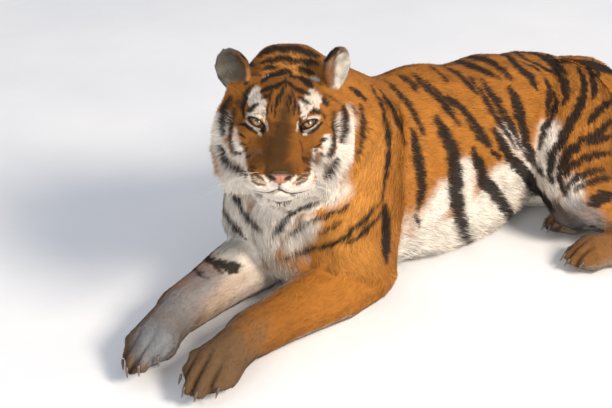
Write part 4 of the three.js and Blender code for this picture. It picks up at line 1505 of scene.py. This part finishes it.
def face_clear(p):
    """False where no hair grows: in the slits between the lids, and under the nose pad."""
    bare = np.zeros(len(p), bool)
    for side in (LEFT, RIGHT):
        near = (side * p[:, 0] > 0) & (p[:, 1] < 0.015) & (np.abs(p[:, 2]) < 0.035)
        bare |= (lid_gap(p, side) < BARE_LID) & near
    return ~(bare | in_box(p, *BARE_NOSE))


# ---------------------------------------------------------------- floor and light
FLOOR_REACH = 12.0
LIGHTS_AIM = (0.1, 0.1, 0.25)
# For each light: its name, place, width in metres, power in watts and colour.
LIGHTS = (
    ("key", (4.9, 0.3, 3.8), 1.6, 450, (1.0, 0.88, 0.74)),
    ("fill", (2.6, -4.8, 2.2), 3.0, 110, (1.0, 0.95, 0.88)),
)
SKY_COLOUR, SKY_STRENGTH = (0.88, 0.92, 1.0, 1), 0.62


def make_floor():
    shader = Shader("floor", Roughness=0.9, Specular_IOR_Level=0.1)
    shader.colour(shader.ramp(shader.noise(2.0), [(0.3, (0.78, 0.80, 0.84)), (0.7, (0.84, 0.855, 0.88))]))
    shader.bump(shader.noise(18), 0.004, 0.3)
    corners = np.array([(-1, -1, 0), (1, -1, 0), (1, 1, 0), (-1, 1, 0)]) * FLOOR_REACH
    floor = new_object("floor", corners, [(0, 1, 2, 3)])
    floor.data.materials.append(shader.material)


def make_light():
    world = bpy.data.worlds.new("studio")
    world.use_nodes = True
    background = world.node_tree.nodes["Background"]
    background.inputs["Color"].default_value = SKY_COLOUR
    background.inputs["Strength"].default_value = SKY_STRENGTH
    bpy.context.scene.world = world
    for name, at, size, power, colour in LIGHTS:
        data = bpy.data.lights.new(name, "AREA")
        data.size, data.energy, data.color = size, power, colour
        light = bpy.data.objects.new(name, data)
        light.location = at
        light.rotation_euler = (Vector(LIGHTS_AIM) - Vector(at)).to_track_quat("-Z", "Y").to_euler()
        bpy.context.scene.collection.objects.link(light)
    bpy.context.scene.view_settings.view_transform = "Standard"


# ---------------------------------------------------------------- the tiger
make_camera()
skin_surface = make_skin()
skin_normals = skin_surface.normals()
paint = Paint(skin_surface)
skin = new_object("skin", skin_surface.co, skin_surface.tri)
set_colours(skin, "paint", paint.at(skin_surface.co, skin_normals, skin_surface.node) * 0.9)
finish_piece(skin, skin_material(), "coat", *FLESH)

comb = comb_field(skin_surface, skin_normals)
triangle_node = skin_surface.node[skin_surface.tri[:, 0]]
regions = region_of(triangle_node, skin_surface.co[skin_surface.tri].mean(axis=1))
fur = fur_material()
for coat in COATS:
    make_coat(coat, skin_surface, skin_normals, comb, paint, np.flatnonzero(regions == coat), fur)

eye = eye_material()
make_eye("left_eye", LEFT, eye)
make_eye("right_eye", RIGHT, eye)
make_nose(nose_material())
make_claws(claw_material())
make_whiskers(skin_surface.tree(), whisker_material())
make_floor()
make_light()
